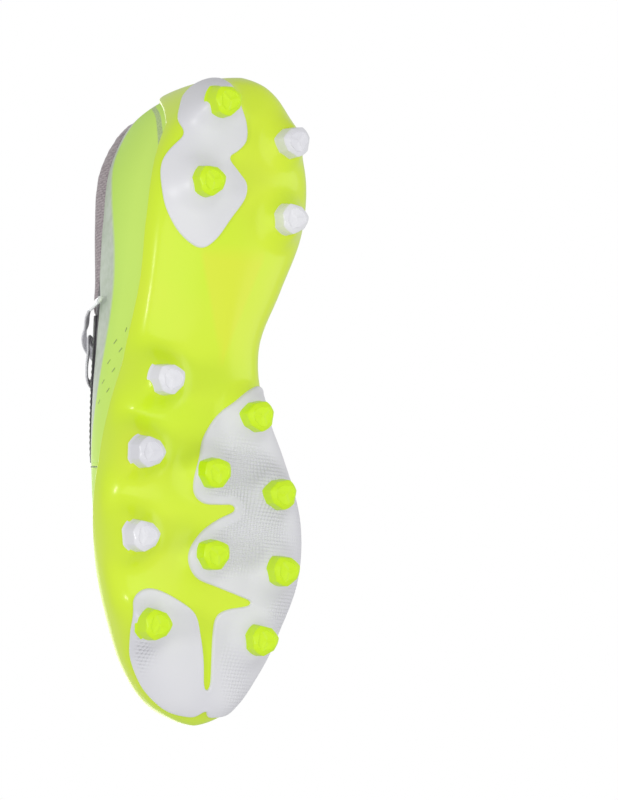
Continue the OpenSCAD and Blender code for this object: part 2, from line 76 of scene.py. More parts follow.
to_camera = Vector((-math.sin(ROLL_FROM_BELOW) * math.cos(PITCH), -math.sin(PITCH),
                    -math.cos(ROLL_FROM_BELOW) * math.cos(PITCH)))
right = (-to_camera).cross(Vector((0, -1, 0))).normalized()
up = right.cross(-to_camera)
turned_right = right * math.cos(PICTURE_ROLL) + up * math.sin(PICTURE_ROLL)
turned_up = up * math.cos(PICTURE_ROLL) - right * math.sin(PICTURE_ROLL)
camera_at = AIM + to_camera * CAMERA_DISTANCE
look = (AIM + turned_right * SIDE_ROOM - camera_at).normalized()
side = look.cross(turned_up).normalized()
above = side.cross(look)
camera_data = bpy.data.cameras.new("camera")
camera_data.lens = LENS
camera = bpy.data.objects.new("camera", camera_data)
camera.matrix_world = Matrix.Translation(camera_at) @ Matrix((side, above, -look)).transposed().to_4x4()
bpy.context.collection.objects.link(camera)
bpy.context.scene.camera = camera
print("camera at", [round(c, 3) for c in camera_at])

# %% [markdown]
# ## The foot shape
# A shoe is built round a last, and here one row of cross-sections plays that part. It is the same row
# as in the CAD source: place along the length, outer and inner half-width, heights of the bottom, the
# widest line and the top, sideways shift, and squareness. A smooth curve runs through them, and every
# shell is a patch of this surface at its own height off it.

# %% The cross-sections
FORM = np.array([
    [0, 0, 0, 14, 24, 102, 7, 2.4],
    [4, 15.5, 14, 6, 21, 103, 6, 2.4],
    [16, 24, 27, 1, 19, 104, 3, 2.5],
    [40, 33, 39, 0, 18, 104, 1, 2.5],
    [66, 36, 40, 0.5, 19, 100, 0, 2.5],
    [92, 36.5, 32, 3, 21, 96, 0, 2.4],
    [118, 38, 24, 5.5, 24, 91, 0, 2.3],
    [144, 42, 27.5, 5, 23, 81, 0, 2.2],
    [170, 46.5, 38.5, 2, 19, 68, 0, 2.1],
    [196, 47.5, 47.5, 0, 16, 55, 0, 2.1],
    [222, 44.5, 47.5, 1, 16, 47, 1, 2.2],
    [246, 38, 38.5, 4, 18, 42, 3, 2.3],
    [266, 30, 28.5, 8, 21, 38, 5, 2.3],
    [281, 18.5, 16.5, 13, 23, 33.5, 7, 2.2],
    [288, 0, 0, 21, 24, 27, 8, 2]], float)
TOE = len(FORM) - 1
FORM_LENGTH = 288
LOW_SQUARENESS = 3
HEEL_LEAN, HEEL_LEAN_END, HEEL_LEAN_HEIGHT = 16, 70, 90
PLATE_T, INLAY_T, STUD_H = 2.4, 0.8, 12
FLOOR_Z = STUD_H + PLATE_T
CENTRE = np.array([-1.15, 0.32, 0])


def station(i):
    """The cross-section at whole numbers; past either end the curve turns back on the other side."""
    past = (i < 0) | (i > TOE)
    f = FORM[np.where(i < 0, -i, np.where(i > TOE, 2 * TOE - i, i))]
    other = f.copy()
    other[..., 1] = -f[..., 2]
    other[..., 2] = -f[..., 1]
    return np.where(past[..., None], other, f)


def through(a, b, c, d, t):
    """A smooth cubic through four values in a row: it runs from b at t = 0 to c at t = 1."""
    return 0.5 * (2 * b + (c - a) * t + (2 * a - 5 * b + 4 * c - d) * t * t + (3 * b - a - 3 * c + d) * t**3)


def section(k):
    """The cross-section at any place k, as the numbers that FORM holds."""
    k = np.asarray(k, float)
    i = np.floor(k).astype(int)
    return through(station(i - 1), station(i), station(i + 1), station(i + 2), (k - i)[..., None])


def on_section(f, turn):
    """A point of a cross-section: turn is 0 at the bottom, 90 at the widest line, 180 at the top."""
    t = (np.asarray(turn, float) + 180) % 360 - 180
    side_of = np.where(t < 0, -1, 1)
    rise = np.radians(np.abs(t) - 90)
    low = rise < 0
    n = np.where(low, LOW_SQUARENESS, f[..., 7])
    w = np.where(side_of < 0, f[..., 1], f[..., 2])
    h = np.where(low, f[..., 4] - f[..., 3], f[..., 5] - f[..., 4])
    c, s = np.abs(np.cos(rise)), np.sin(rise)
    r = 1 / (c**n + np.abs(s)**n)**(1 / n)
    z = f[..., 4] + h * r * s
    lean = HEEL_LEAN * ((z - f[..., 4]) / HEEL_LEAN_HEIGHT)**2 * (1 - f[..., 0] / HEEL_LEAN_END)**2
    back = np.where(low | (f[..., 0] > HEEL_LEAN_END), 0, lean)
    return np.stack([f[..., 6] + side_of * w * r * c, f[..., 0] - FORM_LENGTH / 2 + back, z + FLOOR_Z], -1)


STEP = 0.01
NARROWEST = 8


def degree_mm(k):
    """Width of one degree of turn at a cross-section, in millimetres, never vanishing at the ends."""
    f = section(k)
    return np.radians(1) * np.maximum((f[..., 1] + f[..., 2]) / 2, NARROWEST)


def normal_at(k, turn):
    """The direction straight off the form."""
    kk = np.clip(k, 2 * STEP, TOE - 2 * STEP)
    a = on_section(section(kk + STEP), turn) - on_section(section(kk - STEP), turn)
    b = on_section(section(kk), turn + 0.1) - on_section(section(kk), turn - 0.1)
    n = np.cross(a, b)
    return n / np.linalg.norm(n, axis=-1, keepdims=True)


def off_form(k, turn, off):
    """Points at a height off the form, in millimetres, in the frame's place."""
    k, turn, off = np.broadcast_arrays(np.asarray(k, float), np.asarray(turn, float), np.asarray(off, float))
    return on_section(section(k), turn) + off[..., None] * normal_at(k, turn) + CENTRE


def round_k(s):
    s = np.asarray(s, float)
    return np.where(s < 0, -s, np.where(s > TOE, 2 * TOE - s, s))


def round_side(s):
    return np.where((np.asarray(s) < 0) | (np.asarray(s) > TOE), -1, 1)


def around(s, turn, off):
    """The same, by the way round the shoe: 0 at the heel, outer side below 0 or above TOE."""
    return off_form(round_k(s), round_side(s) * turn, off)


print("cross-sections:", len(FORM))

# %% [markdown]
# ## Edge curves
# Each shell ends at a curve that is given by a few points on the way round. A cubic through them,
# with slopes that never overshoot, keeps the edges fair where straight pieces would show corners.

# %% Smooth edge curves
def curve(points):
    """A smooth function through (s, value) points."""
    x = np.array([p[0] for p in points], float)
    y = np.array([p[1] for p in points], float)
    h = np.diff(x)
    d = np.diff(y) / h
    m = np.zeros(len(x))
    m[0], m[-1] = d[0], d[-1]
    same = d[:-1] * d[1:] > 0
    m[1:-1][same] = (2 * d[:-1] * d[1:] / (d[:-1] + d[1:] + 1e-12))[same]

    def at(s):
        s = np.clip(np.asarray(s, float), x[0], x[-1])
        i = np.clip(np.searchsorted(x, s, side="right") - 1, 0, len(h) - 1)
        t = (s - x[i]) / h[i]
        return ((1 + 2 * t) * (1 - t)**2 * y[i] + t * (1 - t)**2 * h[i] * m[i]
                + t * t * (3 - 2 * t) * y[i + 1] + t * t * (t - 1) * h[i] * m[i + 1])

    return at


def ring_curve(points):
    at = curve(points)
    return lambda s: at(np.where(np.asarray(s) > TOE, np.asarray(s) - 2 * TOE, s))


def level(turn):
    return lambda s: np.full(np.shape(s), float(turn))


VAMP_BACK = 8.2
FEATHER = 63
COLLAR_END = 5.6
COLLAR_DROP = 11
rim = ring_curve([(-14, 116), (-13, 113), (-12, 109), (-11, 105), (-10, 101), (-9, 97), (-8, 90), (-7, 81),
                  (-6, 72), (-5, 68), (-4, 70), (-3.4, 74), (-3, 79), (-2.5, 88), (-2, 98), (-1.4, 111),
                  (-1, 117), (0, 122), (1, 117), (1.4, 111), (2, 99), (2.5, 90), (3, 83), (4, 78), (5, 76),
                  (6, 77), (7, 82), (8, 90), (9, 97), (10, 101), (11, 105), (12, 109), (13, 113), (14, 116)])
topline = ring_curve([(-VAMP_BACK, 164), (-7, 155), (-6, 147), (-5.6, 140), (-5, 133), (-4, 131), (-3, 135),
                      (-2, 141), (-1, 146), (0, 148), (1, 146), (2, 141), (3, 135), (4, 131), (5, 133),
                      (5.6, 140), (6, 147), (7, 155), (VAMP_BACK, 164)])
inlay_rim = ring_curve([(-14, 96), (-9, 84), (-3, 72), (-2, 84), (-1, 93), (0, 93), (1, 80), (6, 78),
                        (13, 84), (14, 96)])
print("plate rim at the waist, outer side:", float(rim(-5)), "degrees")

# %% [markdown]
# ## Meshes from patches
# A shell is a grid with two faces: its outer points, its inner points, and strips that close the
# edges. Rows crowd towards both edges, where the wall thins along a quarter circle, so every edge is
# rounded as a moulded or folded edge is. A closed ring goes right round the shoe. A bridge joins the
# last row to itself, across the sole's middle or over the toes.

# %% Shell maker
def make_object(name, points, faces, smooth=True):
    """A mesh from points in millimetres."""
    mesh = bpy.data.meshes.new(name)
    mesh.from_pydata((np.asarray(points) * MM).tolist(), [], faces)
    mesh.validate()
    mesh.update()
    if smooth:
        mesh.shade_smooth()
    made = bpy.data.objects.new(name, mesh)
    bpy.context.collection.objects.link(made)
    return made


def paint(made, name, values):
    """Keeps one number per point, for a material to read."""
    layer = made.data.attributes.new(name, "FLOAT", "POINT")
    layer.data.foreach_set("value", np.asarray(values, np.float32).ravel())


def grid_faces(columns, rows, closed, bridge):
    """Faces of a shell: the outer grid, the inner grid behind it, and the strips along its edges."""
    i = np.arange(columns if closed else columns - 1)[:, None]
    j = np.arange(rows - 1)[None]
    a, b = i * rows + j, (i + 1) % columns * rows + j
    n = columns * rows
    faces = np.stack([a, b, b + 1, a + 1], -1).reshape(-1, 4).tolist()
    faces += (np.stack([a + 1, b + 1, b, a], -1).reshape(-1, 4) + n).tolist()
    a, b = (i * rows).ravel(), ((i + 1) % columns * rows).ravel()
    faces += np.stack([n + a, n + b, b, a], -1).tolist()
    top = rows - 1
    if not bridge:
        faces += np.stack([a + top, b + top, n + b + top, n + a + top], -1).tolist()
    if not closed:
        j = np.arange(rows - 1)
        e = (columns - 1) * rows
        faces += np.stack([j, j + 1, n + j + 1, n + j], -1).tolist()
        faces += np.stack([n + e + j, n + e + j + 1, e + j + 1, e + j], -1).tolist()
    if bridge:
        for p in range(columns // 2):
            facing = columns - 1 - p
            across = [facing, (columns - p) % columns] if closed else [facing - 1, facing]
            q = list(dict.fromkeys(c * rows + top for c in [p, p + 1] + across))
            if len(q) > 2:
                faces.append(q)
                faces.append([c + n for c in reversed(q)])
        if not closed:
            e = (columns - 1) * rows
            faces.append([top, e + top, n + e + top, n + top])
    return faces


def crowded(count):
    """Places from 0 to 1 that crowd towards both ends."""
    t = np.linspace(0, 1, count)
    return 0.35 * t + 0.65 * (1 - np.cos(np.pi * t)) / 2


def shell(name, way, low, high, rows, inner, outer, closed=False, bridge=False, rounding=0.8,
          relief=None, drop=None):
    """A shell over the form. relief(k, turn, s) adds to its outer height, drop(points, turn) lowers it."""
    v = crowded(rows)
    s = np.repeat(way[:, None], rows, 1)
    a, b = low(way)[:, None], high(way)[:, None]
    turn = a + (b - a) * v[None]
    degree = degree_mm(round_k(s))
    to_low = np.abs(turn - a) * degree
    to_high = np.full(turn.shape, 99.0) if bridge else np.abs(b - turn) * degree
    edge = np.clip(np.minimum(to_low, to_high) / rounding, 0, 1)
    thin = np.sqrt(1 - (1 - edge)**2)
    middle = (inner + outer) / 2
    out = middle + (outer - middle) * thin
    if relief is not None:
        out = out + relief(round_k(s), round_side(s) * turn, s) * thin
    outside = around(s, turn, out)
    if drop is not None:
        outside[..., 2] -= drop(outside, turn)
    points = np.concatenate([outside.reshape(-1, 3),
                             around(s, turn, middle - (middle - inner) * thin).reshape(-1, 3)])
    faces = grid_faces(len(way), rows, closed, bridge)
    if not closed:
        faces = [f[::-1] for f in faces]
    made = make_object(name, points, faces)
    paint(made, "turn", np.concatenate([turn.ravel(), turn.ravel()]))
    paint(made, "way", np.concatenate([s.ravel(), s.ravel()]))
    paint(made, "outside", np.concatenate([np.ones(s.size), np.zeros(s.size)]))
    return made


def ring_way(per_station):
    """Columns right round the shoe, closer at the two round ends."""
    half = np.linspace(0, TOE, TOE * per_station + 1)
    return np.concatenate([half, 2 * TOE - half[-2:0:-1]])


def way_between(a, b, per_station):
    return np.linspace(a, b, int((b - a) * per_station) | 1)


# %% [markdown]
# ## Studs and their flares
# Each stud is a three-lobed block that tapers to a flat tip. The plate, or the white inlay where the
# stud stands on one, rises round its foot in a soft flare that spreads the load of a step. The flare
# is therefore part of the surface below the stud, and the same list of places serves both.

# %% Stud places
STUDS = [
    ("stud_heel_back_outer", "volt", -13, 12.5, 0, -20),
    ("stud_heel_front_outer", "volt", -18.5, 48.5, 0, -15),
    ("stud_heel_back_inner", "white", 23, 26.5, 0, -55),
    ("stud_heel_front_inner", "white", 24.5, 61, 0, -8),
    ("stud_arch_outer", "white", -31, 137, 2, -22),
    ("stud_ball_back_outer", "white", -39.5, 169.5, 0, -2),
    ("stud_ball_front_outer", "white", -39.5, 206, 0, -8),
    ("stud_arch_inner", "volt", 15, 150, 2, -55),
    ("stud_centre_back", "volt", -6, 176.5, 0, -30),
    ("stud_ball_back_inner", "volt", 28, 184, 0, -53),
    ("stud_centre_front", "volt", -4, 212.5, 0, -30),
    ("stud_ball_front_inner", "volt", 32, 218, 0, -16),
    ("stud_toe_outer", "volt", -28.5, 244.5, 4, -3),
    ("stud_toe_inner", "volt", 25.5, 249.5, 4, -8)]
STUD_SHOWS = 8.2
WALL_FROM = 0.97
FLARE_FLAT, FLARE_FALL = 5.2, 5.6
K_TABLE = np.linspace(0, TOE, 2801)
U_TABLE = section(K_TABLE)[:, 0]


def sole_place(x, u):
    """Cross-section and turn of the sole point at (x, u). Past the flat part, x counts up the wall."""
    k = np.interp(u, U_TABLE, K_TABLE)
    f = section(k)
    dx = x - f[..., 6]
    w = np.maximum(np.where(dx < 0, f[..., 1], f[..., 2]), NARROWEST)
    c = np.clip(np.abs(dx) / w, 0, WALL_FROM)
    s = (1 - c**LOW_SQUARENESS)**(1 / LOW_SQUARENESS)
    up_wall = np.degrees(np.maximum(np.abs(dx) / w - WALL_FROM, 0))
    return k, np.where(dx < 0, -1, 1) * (90 - np.degrees(np.arctan2(s, c)) + up_wall)


stud_feet = np.array([off_form(*sole_place(np.float64(x), np.float64(u)), PLATE_T)
                      for name, colour, x, u, tip_z, turn_deg in STUDS])
flare_tops = np.array([tip_z + STUD_SHOWS for name, colour, x, u, tip_z, turn_deg in STUDS])


def flares(points, turn):
    """How far the flares round the studs lower the sole at these points."""
    total = np.zeros(np.shape(turn))
    for foot, top in zip(stud_feet, flare_tops):
        d = np.hypot(points[..., 0] - foot[0], points[..., 1] - foot[1])
        height = foot[2] - top
        fall = FLARE_FALL + 0.25 * max(height - 4, 0)
        share = np.exp(-(np.maximum(d - FLARE_FLAT, 0) / fall)**2)
        total = np.maximum(total, share * np.clip(points[..., 2] - top, 0, height + 1.5))
    return total * np.clip((84 - np.abs(turn)) / 30, 0, 1)


print("studs:", len(STUDS))

# %% [markdown]
# ## The sole plate
# The plate is one injection-moulded shell that cups the foot: under the arch its edges run low, and
# round the heel it climbs as an outside heel counter. A shallow ridge along the outer side of the arch
# and a low rib down its middle stiffen it. The rows run from the rim to the middle line, where the
# last row is bridged.

# %% Sole plate
def bell(x, centre, width):
    return np.exp(-((x - centre) / width)**2)


# Place and size of the V-shaped patch of painted shade in the plate's waist.
FACET_HALF_WIDTH, FACET_BACK_U, FACET_TIP_U = 17, 80, 131
FACET_MIDDLE_X, FACET_SIDE_BLUR, FACET_BACK_BLUR = 1, 2.5, 8


def plate_relief(k, turn, s):
    u = section(k)[..., 0]
    side_ridge = 0.9 * bell(turn, -52, 9) * bell(u, 100, 38)
    middle_rib = 0.7 * bell(turn, 4, 16) * bell(u, 104, 34)
    return side_ridge + middle_rib


plate = shell("sole_plate_moulding", ring_way(24), rim, level(3), 96, 0, PLATE_T, closed=True, bridge=True,
              rounding=1.1, relief=plate_relief, drop=flares)
plate_place = np.array([v.co for v in plate.data.vertices]) / MM - CENTRE
plate_u = plate_place[:, 1] + FORM_LENGTH / 2
# The V-shaped patch in the waist is painted yellower and darker: painted shade of a shallow flat face that
# the plate's shape leaves out.
facet_half = FACET_HALF_WIDTH * np.clip((FACET_TIP_U - plate_u) / (FACET_TIP_U - FACET_BACK_U), 0, 1)
facet_shade = np.clip((facet_half - np.abs(plate_place[:, 0] - FACET_MIDDLE_X)) / FACET_SIDE_BLUR, 0, 1)
facet_shade *= np.clip((plate_u - FACET_BACK_U) / FACET_BACK_BLUR + 0.75, 0, 1)
paint(plate, "facet_shade", facet_shade)
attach(plate, "shoe")
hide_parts("sole_plate")
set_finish(plate, "volt_plate")
print("sole plate points:", len(plate.data.vertices))

# %% [markdown]
# ## The white inlays
# The inlays are a second colour moulded onto the plate, and stand proud of it with a small rounded
# lip. Their outline bends too tightly for a grid, so it is drawn as a smooth closed curve on the
# unrolled sole. Three rings inside it carry the lip, an even scatter of points fills the rest, and the
# whole is triangulated with the outline kept as an edge. The flat result is then laid on the sole.

# %% Inlay outlines
HEEL_OUTLINE = [(-8, 0), (-15, 2), (-22, 7), (-26, 14), (-25, 21), (-23.5, 28), (-27.5, 34), (-31, 41),
                (-32, 50), (-30.5, 62), (-25, 72), (-16, 77.5), (-9, 73.5), (-2, 63), (4, 54),
                (4.5, 47), (0, 42), (-5, 36.5), (-1, 33), (3, 28), (2.5, 20), (-1.5, 12), (-5, 5),
                (-6, 0)]
FOREFOOT_OUTLINE = [(19, 136.5), (12, 139.5), (5, 145.5), (-2, 152.5), (-9.5, 165), (-13.5, 177),
                    (-12.5, 186), (-7, 190.5), (2, 190.7), (8, 190.5), (9, 193), (1, 197), (-8, 203),
                    (-13, 210), (-13, 217), (-7.5, 223.5), (4, 227), (14, 230), (21.5, 232.5),
                    (20, 234.5), (10, 236.5), (5, 240), (4.5, 248), (6, 260), (7.5, 270), (6.5, 273),
                    (4.5, 270), (2, 259), (-1.5, 248), (-5.5, 239), (-14, 233.5), (-25, 229),
                    (-31.5, 229.5), (-34.8, 235), (-33.5, 246), (-28.5, 259), (-20, 272), (-9, 281.2),
                    (3, 284), (8.5, 281.5), (12, 284), (24, 281), (38, 268), (52, 240), (58, 205),
                    (54, 170), (38, 156), (30, 147), (26, 140.5), (23, 137)]
POINT_SPACING = 1.25
OUTLINE_SPACING = 0.5
LIP_RINGS = (0.3, 0.65, 1.1)
OUTLINE_EASE, STEEP_EASE = 8, 60
STEEP_FROM, STEEP_FULL = 45, 60
LIP_WIDTH, LIP_HEIGHT = 0.8, 0.22
HEEL_STOP, TOE_STOP = 1.6, 285.6
DEGREE_TABLE = degree_mm(K_TABLE)
RUN_TURN = 50
SIDE_LINE = on_section(section(K_TABLE), RUN_TURN)
RUN_TABLE = np.concatenate([[0], np.cumsum(np.linalg.norm(np.diff(SIDE_LINE, axis=0), axis=1))])


def to_flat(k, turn):
    """The sole unrolled in true millimetres: distance along it, and distance from its middle line."""
    return np.stack([np.interp(k, K_TABLE, RUN_TABLE), turn * np.interp(k, K_TABLE, DEGREE_TABLE)], -1)


def from_flat(flat):
    k = np.interp(flat[:, 0], RUN_TABLE, K_TABLE)
    return k, flat[:, 1] / np.interp(k, K_TABLE, DEGREE_TABLE)


def smooth_loop(points, n):
    """A smooth closed curve through the points, with n steps from one to the next."""
    p = np.array(points, float)[:, None]
    t = (np.arange(n) / n)[None, :, None]
    return through(np.roll(p, 1, 0), p, np.roll(p, -1, 0), np.roll(p, -2, 0), t).reshape(-1, 2)


def evenly(points, spacing):
    """The same closed line with points at an even spacing."""
    p = np.vstack([points, points[:1]])
    run = np.concatenate([[0], np.cumsum(np.linalg.norm(np.diff(p, axis=0), axis=1))])
    at = np.linspace(0, run[-1], max(int(run[-1] / spacing), 8), endpoint=False)
    return np.stack([np.interp(at, run, p[:, 0]), np.interp(at, run, p[:, 1])], 1)


def inside(points, loop):
    """Which points lie inside a closed line."""
    x, y = points[:, 0][:, None], points[:, 1][:, None]
    a, b = loop, np.roll(loop, -1, 0)
    crosses = (a[:, 1] > y) != (b[:, 1] > y)
    at = (b[:, 0] - a[:, 0]) * (y - a[:, 1]) / (b[:, 1] - a[:, 1] + 1e-12) + a[:, 0]
    return (crosses & (x < at)).sum(1) % 2 == 1


def eased(flat, share, times):
    """Moves each point of a closed line a share of the way to the middle of its neighbours."""
    for _ in range(times):
        flat = flat + share * (0.25 * np.roll(flat, 1, 0) - 0.5 * flat + 0.25 * np.roll(flat, -1, 0))
    return flat


def unrolled(outline):
    """The outline on the unrolled sole, kept below the plate's rim and eased, more so on the wall."""
    loop = smooth_loop(outline, 12)
    k, turn = sole_place(loop[:, 0], np.clip(loop[:, 1], HEEL_STOP, TOE_STOP))
    limit = inlay_rim(np.where(turn < 0, -k, k))
    flat = eased(evenly(to_flat(k, np.clip(turn, -limit, limit)), OUTLINE_SPACING), 1, OUTLINE_EASE)
    steep = np.clip((np.abs(from_flat(flat)[1]) - STEEP_FROM) / (STEEP_FULL - STEEP_FROM), 0, 1)
    return eased(flat, steep[:, None], STEEP_EASE)


def distance_to(tree, points):
    return np.array([tree.find((p[0], p[1], 0))[2] for p in points])


def filling(flat, tree):
    """Points inside an outline: an even scatter, and rings that follow the lip."""
    low, high = flat.min(0), flat.max(0)
    rows = np.arange(low[1], high[1], POINT_SPACING * 0.866)
    grid = np.array([(x + (i % 2) * POINT_SPACING / 2, y) for i, y in enumerate(rows)
                     for x in np.arange(low[0], high[0], POINT_SPACING)])
    grid = grid[inside(grid, flat)]
    grid = grid[distance_to(tree, grid) > LIP_RINGS[-1] + OUTLINE_SPACING]
    forward = np.roll(flat, -1, 0) - np.roll(flat, 1, 0)
    across = np.stack([-forward[:, 1], forward[:, 0]], 1) / np.linalg.norm(forward, axis=1, keepdims=True)
    for side in (-1, 1):
        for d in LIP_RINGS:
            ring = flat + side * d * across
            ring = ring[inside(ring, flat)]
            grid = np.vstack([grid, ring[distance_to(tree, ring) > 0.93 * d]])
    return grid


def inlay(name, outline):
    flat = unrolled(outline)
    tree = kdtree.KDTree(len(flat))
    for i, p in enumerate(flat):
        tree.insert((p[0], p[1], 0), i)
    tree.balance()
    verts = [Vector(p) for p in np.vstack([flat, filling(flat, tree)])]
    edges = [(i, (i + 1) % len(flat)) for i in range(len(flat))]
    out = geometry.delaunay_2d_cdt(verts, edges, [list(range(len(flat)))], 1, 1e-5)
    flat_points = np.array([tuple(v) for v in out[0]])
    near = distance_to(tree, flat_points)
    k, turn = from_flat(flat_points)
    rise = np.sqrt(np.clip(1 - (1 - np.clip(near / LIP_WIDTH, 0, 1))**2, 0, 1))
    lip = LIP_HEIGHT * bell(near, LIP_RINGS[-1], 0.7)
    n = len(flat_points)
    lowered = flares(off_form(k, turn, PLATE_T), turn)
    upper_side = off_form(k, turn, PLATE_T - 0.25 + (INLAY_T + 0.35) * rise + lip * rise)
    under_side = off_form(k, turn, PLATE_T - 0.6)
    upper_side[:, 2] -= lowered
    under_side[:, 2] -= lowered
    points = np.vstack([upper_side, under_side])
    faces = [list(f) for f in out[2]]
    a, b, c = upper_side[faces[0][:3]]
    outwards = np.dot(np.cross(b - a, c - a), normal_at(k[faces[0][:1]], turn[faces[0][:1]])[0]) > 0
    if not outwards:
        faces = [f[::-1] for f in faces]
    used = {}
    for f in faces:
        for p, q in zip(f, f[1:] + f[:1]):
            used[(p, q)] = True
    walls = [[q, p, p + n, q + n] for p, q in used if (q, p) not in used]
    faces += [[c + n for c in reversed(f)] for f in faces] + walls
    made = make_object(name, points, faces)
    paint(made, "edge", np.concatenate([near, near]))
    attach(made, "shoe")
    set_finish(made, "white_inlay")
    print(name, "points:", len(points))
    return made


# %% Lay the inlays
heel_inlay = inlay("heel_inlay_moulding", HEEL_OUTLINE)
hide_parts("heel_inlay")
forefoot_inlay = inlay("forefoot_inlay_moulding", FOREFOOT_OUTLINE)
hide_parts("forefoot_inlay")

# %% [markdown]
# ## Stud mouldings
# A stud is a stack of rings from its foot to its tip. Its outline is a rounded polygon of seven sides
# with three broad lobes: the flats carry the load, and they let the moulding leave its tool cleanly.
# The rings widen a little to a shoulder, then a cut edge slopes in to a flat tip with a low
# three-armed ridge. Edges sharper than a set angle stay crisp.

# %% Studs
STUD_ROOT_R, STUD_SHOULDER_R, STUD_TIP_R = 7.3, 6.6, 4.7
LOBE = 0.055
SIDES = 7
POLYGON_SHARE = 0.62
STUD_SINK = 2.2
CUT_HEIGHT = 1.5
TIP_RIDGE, TIP_ARM_W = 0.35, 0.8
SHARP_FROM = math.radians(32)
STUD_POINTS = 98


def stud_outline(angles, lean):
    """Radius round a stud, about 1: part polygon and part circle, with three lobes."""
    corner = 2 * np.pi / SIDES
    within = np.mod(angles - lean * 1.3, corner) - corner / 2
    polygon = np.cos(corner / 2) / np.cos(within) * 1.03
    return (POLYGON_SHARE * polygon + 1 - POLYGON_SHARE) * (1 + LOBE * np.cos(3 * (angles - lean)))


def stud(name, colour, x, u, tip_z, turn_deg):
    """One stud as rings of points from its root to its tip; cut is 1 where the tip's outline holds."""
    axis = np.array([x + CENTRE[0], u - FORM_LENGTH / 2 + CENTRE[1], 0])
    root_z = tip_z + STUD_SHOWS + STUD_SINK
    angles = np.linspace(0, 2 * np.pi, STUD_POINTS, endpoint=False)
    lean = math.radians(turn_deg)
    outline = stud_outline(angles, lean)
    tip_outline = stud_outline(angles, lean + 0.25)
    steps = [(root_z, STUD_ROOT_R + 0.5, 0)]
    shoulder_z = tip_z + CUT_HEIGHT
    steps += [(root_z + (shoulder_z - root_z) * h, STUD_ROOT_R + (STUD_SHOULDER_R - STUD_ROOT_R) * h**0.7, 0)
              for h in np.linspace(0.12, 1, 12)]
    steps += [(shoulder_z - CUT_HEIGHT * h, STUD_SHOULDER_R + (STUD_TIP_R - STUD_SHOULDER_R) * h**1.3, h)
              for h in np.linspace(0.18, 1, 6)]
    steps += [(tip_z, STUD_TIP_R * share, 1) for share in (0.9, 0.75, 0.6, 0.45, 0.3, 0.15)]
    arm = np.min([np.abs(np.mod(angles - lean - a + np.pi, 2 * np.pi) - np.pi)
                  for a in np.radians((0, 120, 240))], 0)
    ring_list = []
    for z, r, cut in steps:
        radius = r * (outline * (1 - cut) + tip_outline * cut)
        heights = np.full(STUD_POINTS, float(z))
        if cut == 1 and r < STUD_TIP_R:
            heights += TIP_RIDGE - TIP_RIDGE * np.exp(-(arm * r / TIP_ARM_W)**2)
        ring_list.append(np.stack([radius * np.cos(angles), radius * np.sin(angles), heights], 1) + axis)
    n = STUD_POINTS
    points = np.vstack(ring_list + [[axis + [0, 0, tip_z]], [axis + [0, 0, root_z]]])
    faces = [[j * n + (i + 1) % n, j * n + i, (j + 1) * n + i, (j + 1) * n + (i + 1) % n]
             for j in range(len(ring_list) - 1) for i in range(n)]
    last = (len(ring_list) - 1) * n
    faces += [[last + (i + 1) % n, last + i, len(ring_list) * n] for i in range(n)]
    faces += [[i, (i + 1) % n, len(ring_list) * n + 1] for i in range(n)]
    made = make_object(name + "_moulding", points, faces)
    made.data.set_sharp_from_angle(angle=SHARP_FROM)
    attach(made, "shoe")
    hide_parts(name)
    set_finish(made, colour + "_stud")
    return made


stud_pieces = [stud(*s) for s in STUDS]
print("studs made:", len(stud_pieces))

# %% [markdown]
# ## The upper
# The upper is a thin knit with a coated film. Vamp and quarters are shells of the form between the
# feather line, where they tuck under the foot, and their top edges. The film swells very slightly
# between its edges, as a lasted upper does.

# %% Vamp and quarters
SKIN_T, GLUE = 1.2, 0.2
SEAM = 0.004


def puff(k, turn, s):
    """The film's swell, and faint creases across the toes where the foot bends."""
    u = section(k)[..., 0]
    up = np.abs(turn)
    creases = np.sin(u * 0.42 + 0.8 * np.sin(turn * 0.05)) * bell(up, 150, 18) * bell(u, 190, 12)
    return 0.25 * bell(up, 125, 25) - 0.21 * creases


def quarter_top(s):
    """The quarters' top edge: the top line, let down where the collar sits on it."""
    back = np.clip((COLLAR_END + 0.35 - np.abs(s)) / 0.5, 0, 1)
    return topline(s) - (COLLAR_DROP - 2.5) * back * back * (3 - 2 * back)


VAMP_LAP = 0.12
vamp = shell("vamp_skin", way_between(VAMP_BACK - VAMP_LAP, 2 * TOE - VAMP_BACK + VAMP_LAP, 16),
             level(FEATHER), level(177), 90, -GLUE - SKIN_T, -GLUE, bridge=True, rounding=0.5, relief=puff)
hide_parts("vamp")
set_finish(vamp, "knit_upper")
lateral = shell("lateral_quarter_skin", way_between(-VAMP_BACK, -SEAM, 20), level(FEATHER), quarter_top, 80,
                -GLUE - SKIN_T, -GLUE + 0.15, rounding=0.5, relief=puff)
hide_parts("lateral_quarter")
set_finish(lateral, "coated_upper")
medial = shell("medial_quarter_skin", way_between(SEAM, VAMP_BACK, 20), level(FEATHER), quarter_top, 80,
               -GLUE - SKIN_T, -GLUE + 0.15, rounding=0.5, relief=puff)
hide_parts("medial_quarter")
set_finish(medial, "coated_upper")
for piece in (vamp, lateral, medial):
    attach(piece, "shoe")
print("upper points:", sum(len(p.data.vertices) for p in (vamp, lateral, medial)))

# %% [markdown]
# ## Footbed
# The lasting board and the sockliner lie inside. Only the sockliner shows, through the mouth. Its top
# cloth dips under the heel and rises at the arch.

# %% Footbed
BOARD_T, SOCK_T = 1.3, 3.0
board = shell("lasting_board_sheet", ring_way(8), level(FEATHER - 3), level(5), 16, -GLUE - BOARD_T, -GLUE,
              closed=True, bridge=True, rounding=0.4)
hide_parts("lasting_board")
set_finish(board, "board")
sock = shell("sockliner_foam", ring_way(12), level(FEATHER - 1), level(5), 34, -2 * GLUE - BOARD_T - SOCK_T,
             -2 * GLUE - BOARD_T, closed=True, bridge=True, rounding=1.2)
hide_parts("sockliner")
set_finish(sock, "sockliner")
for piece in (board, sock):
    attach(piece, "shoe")

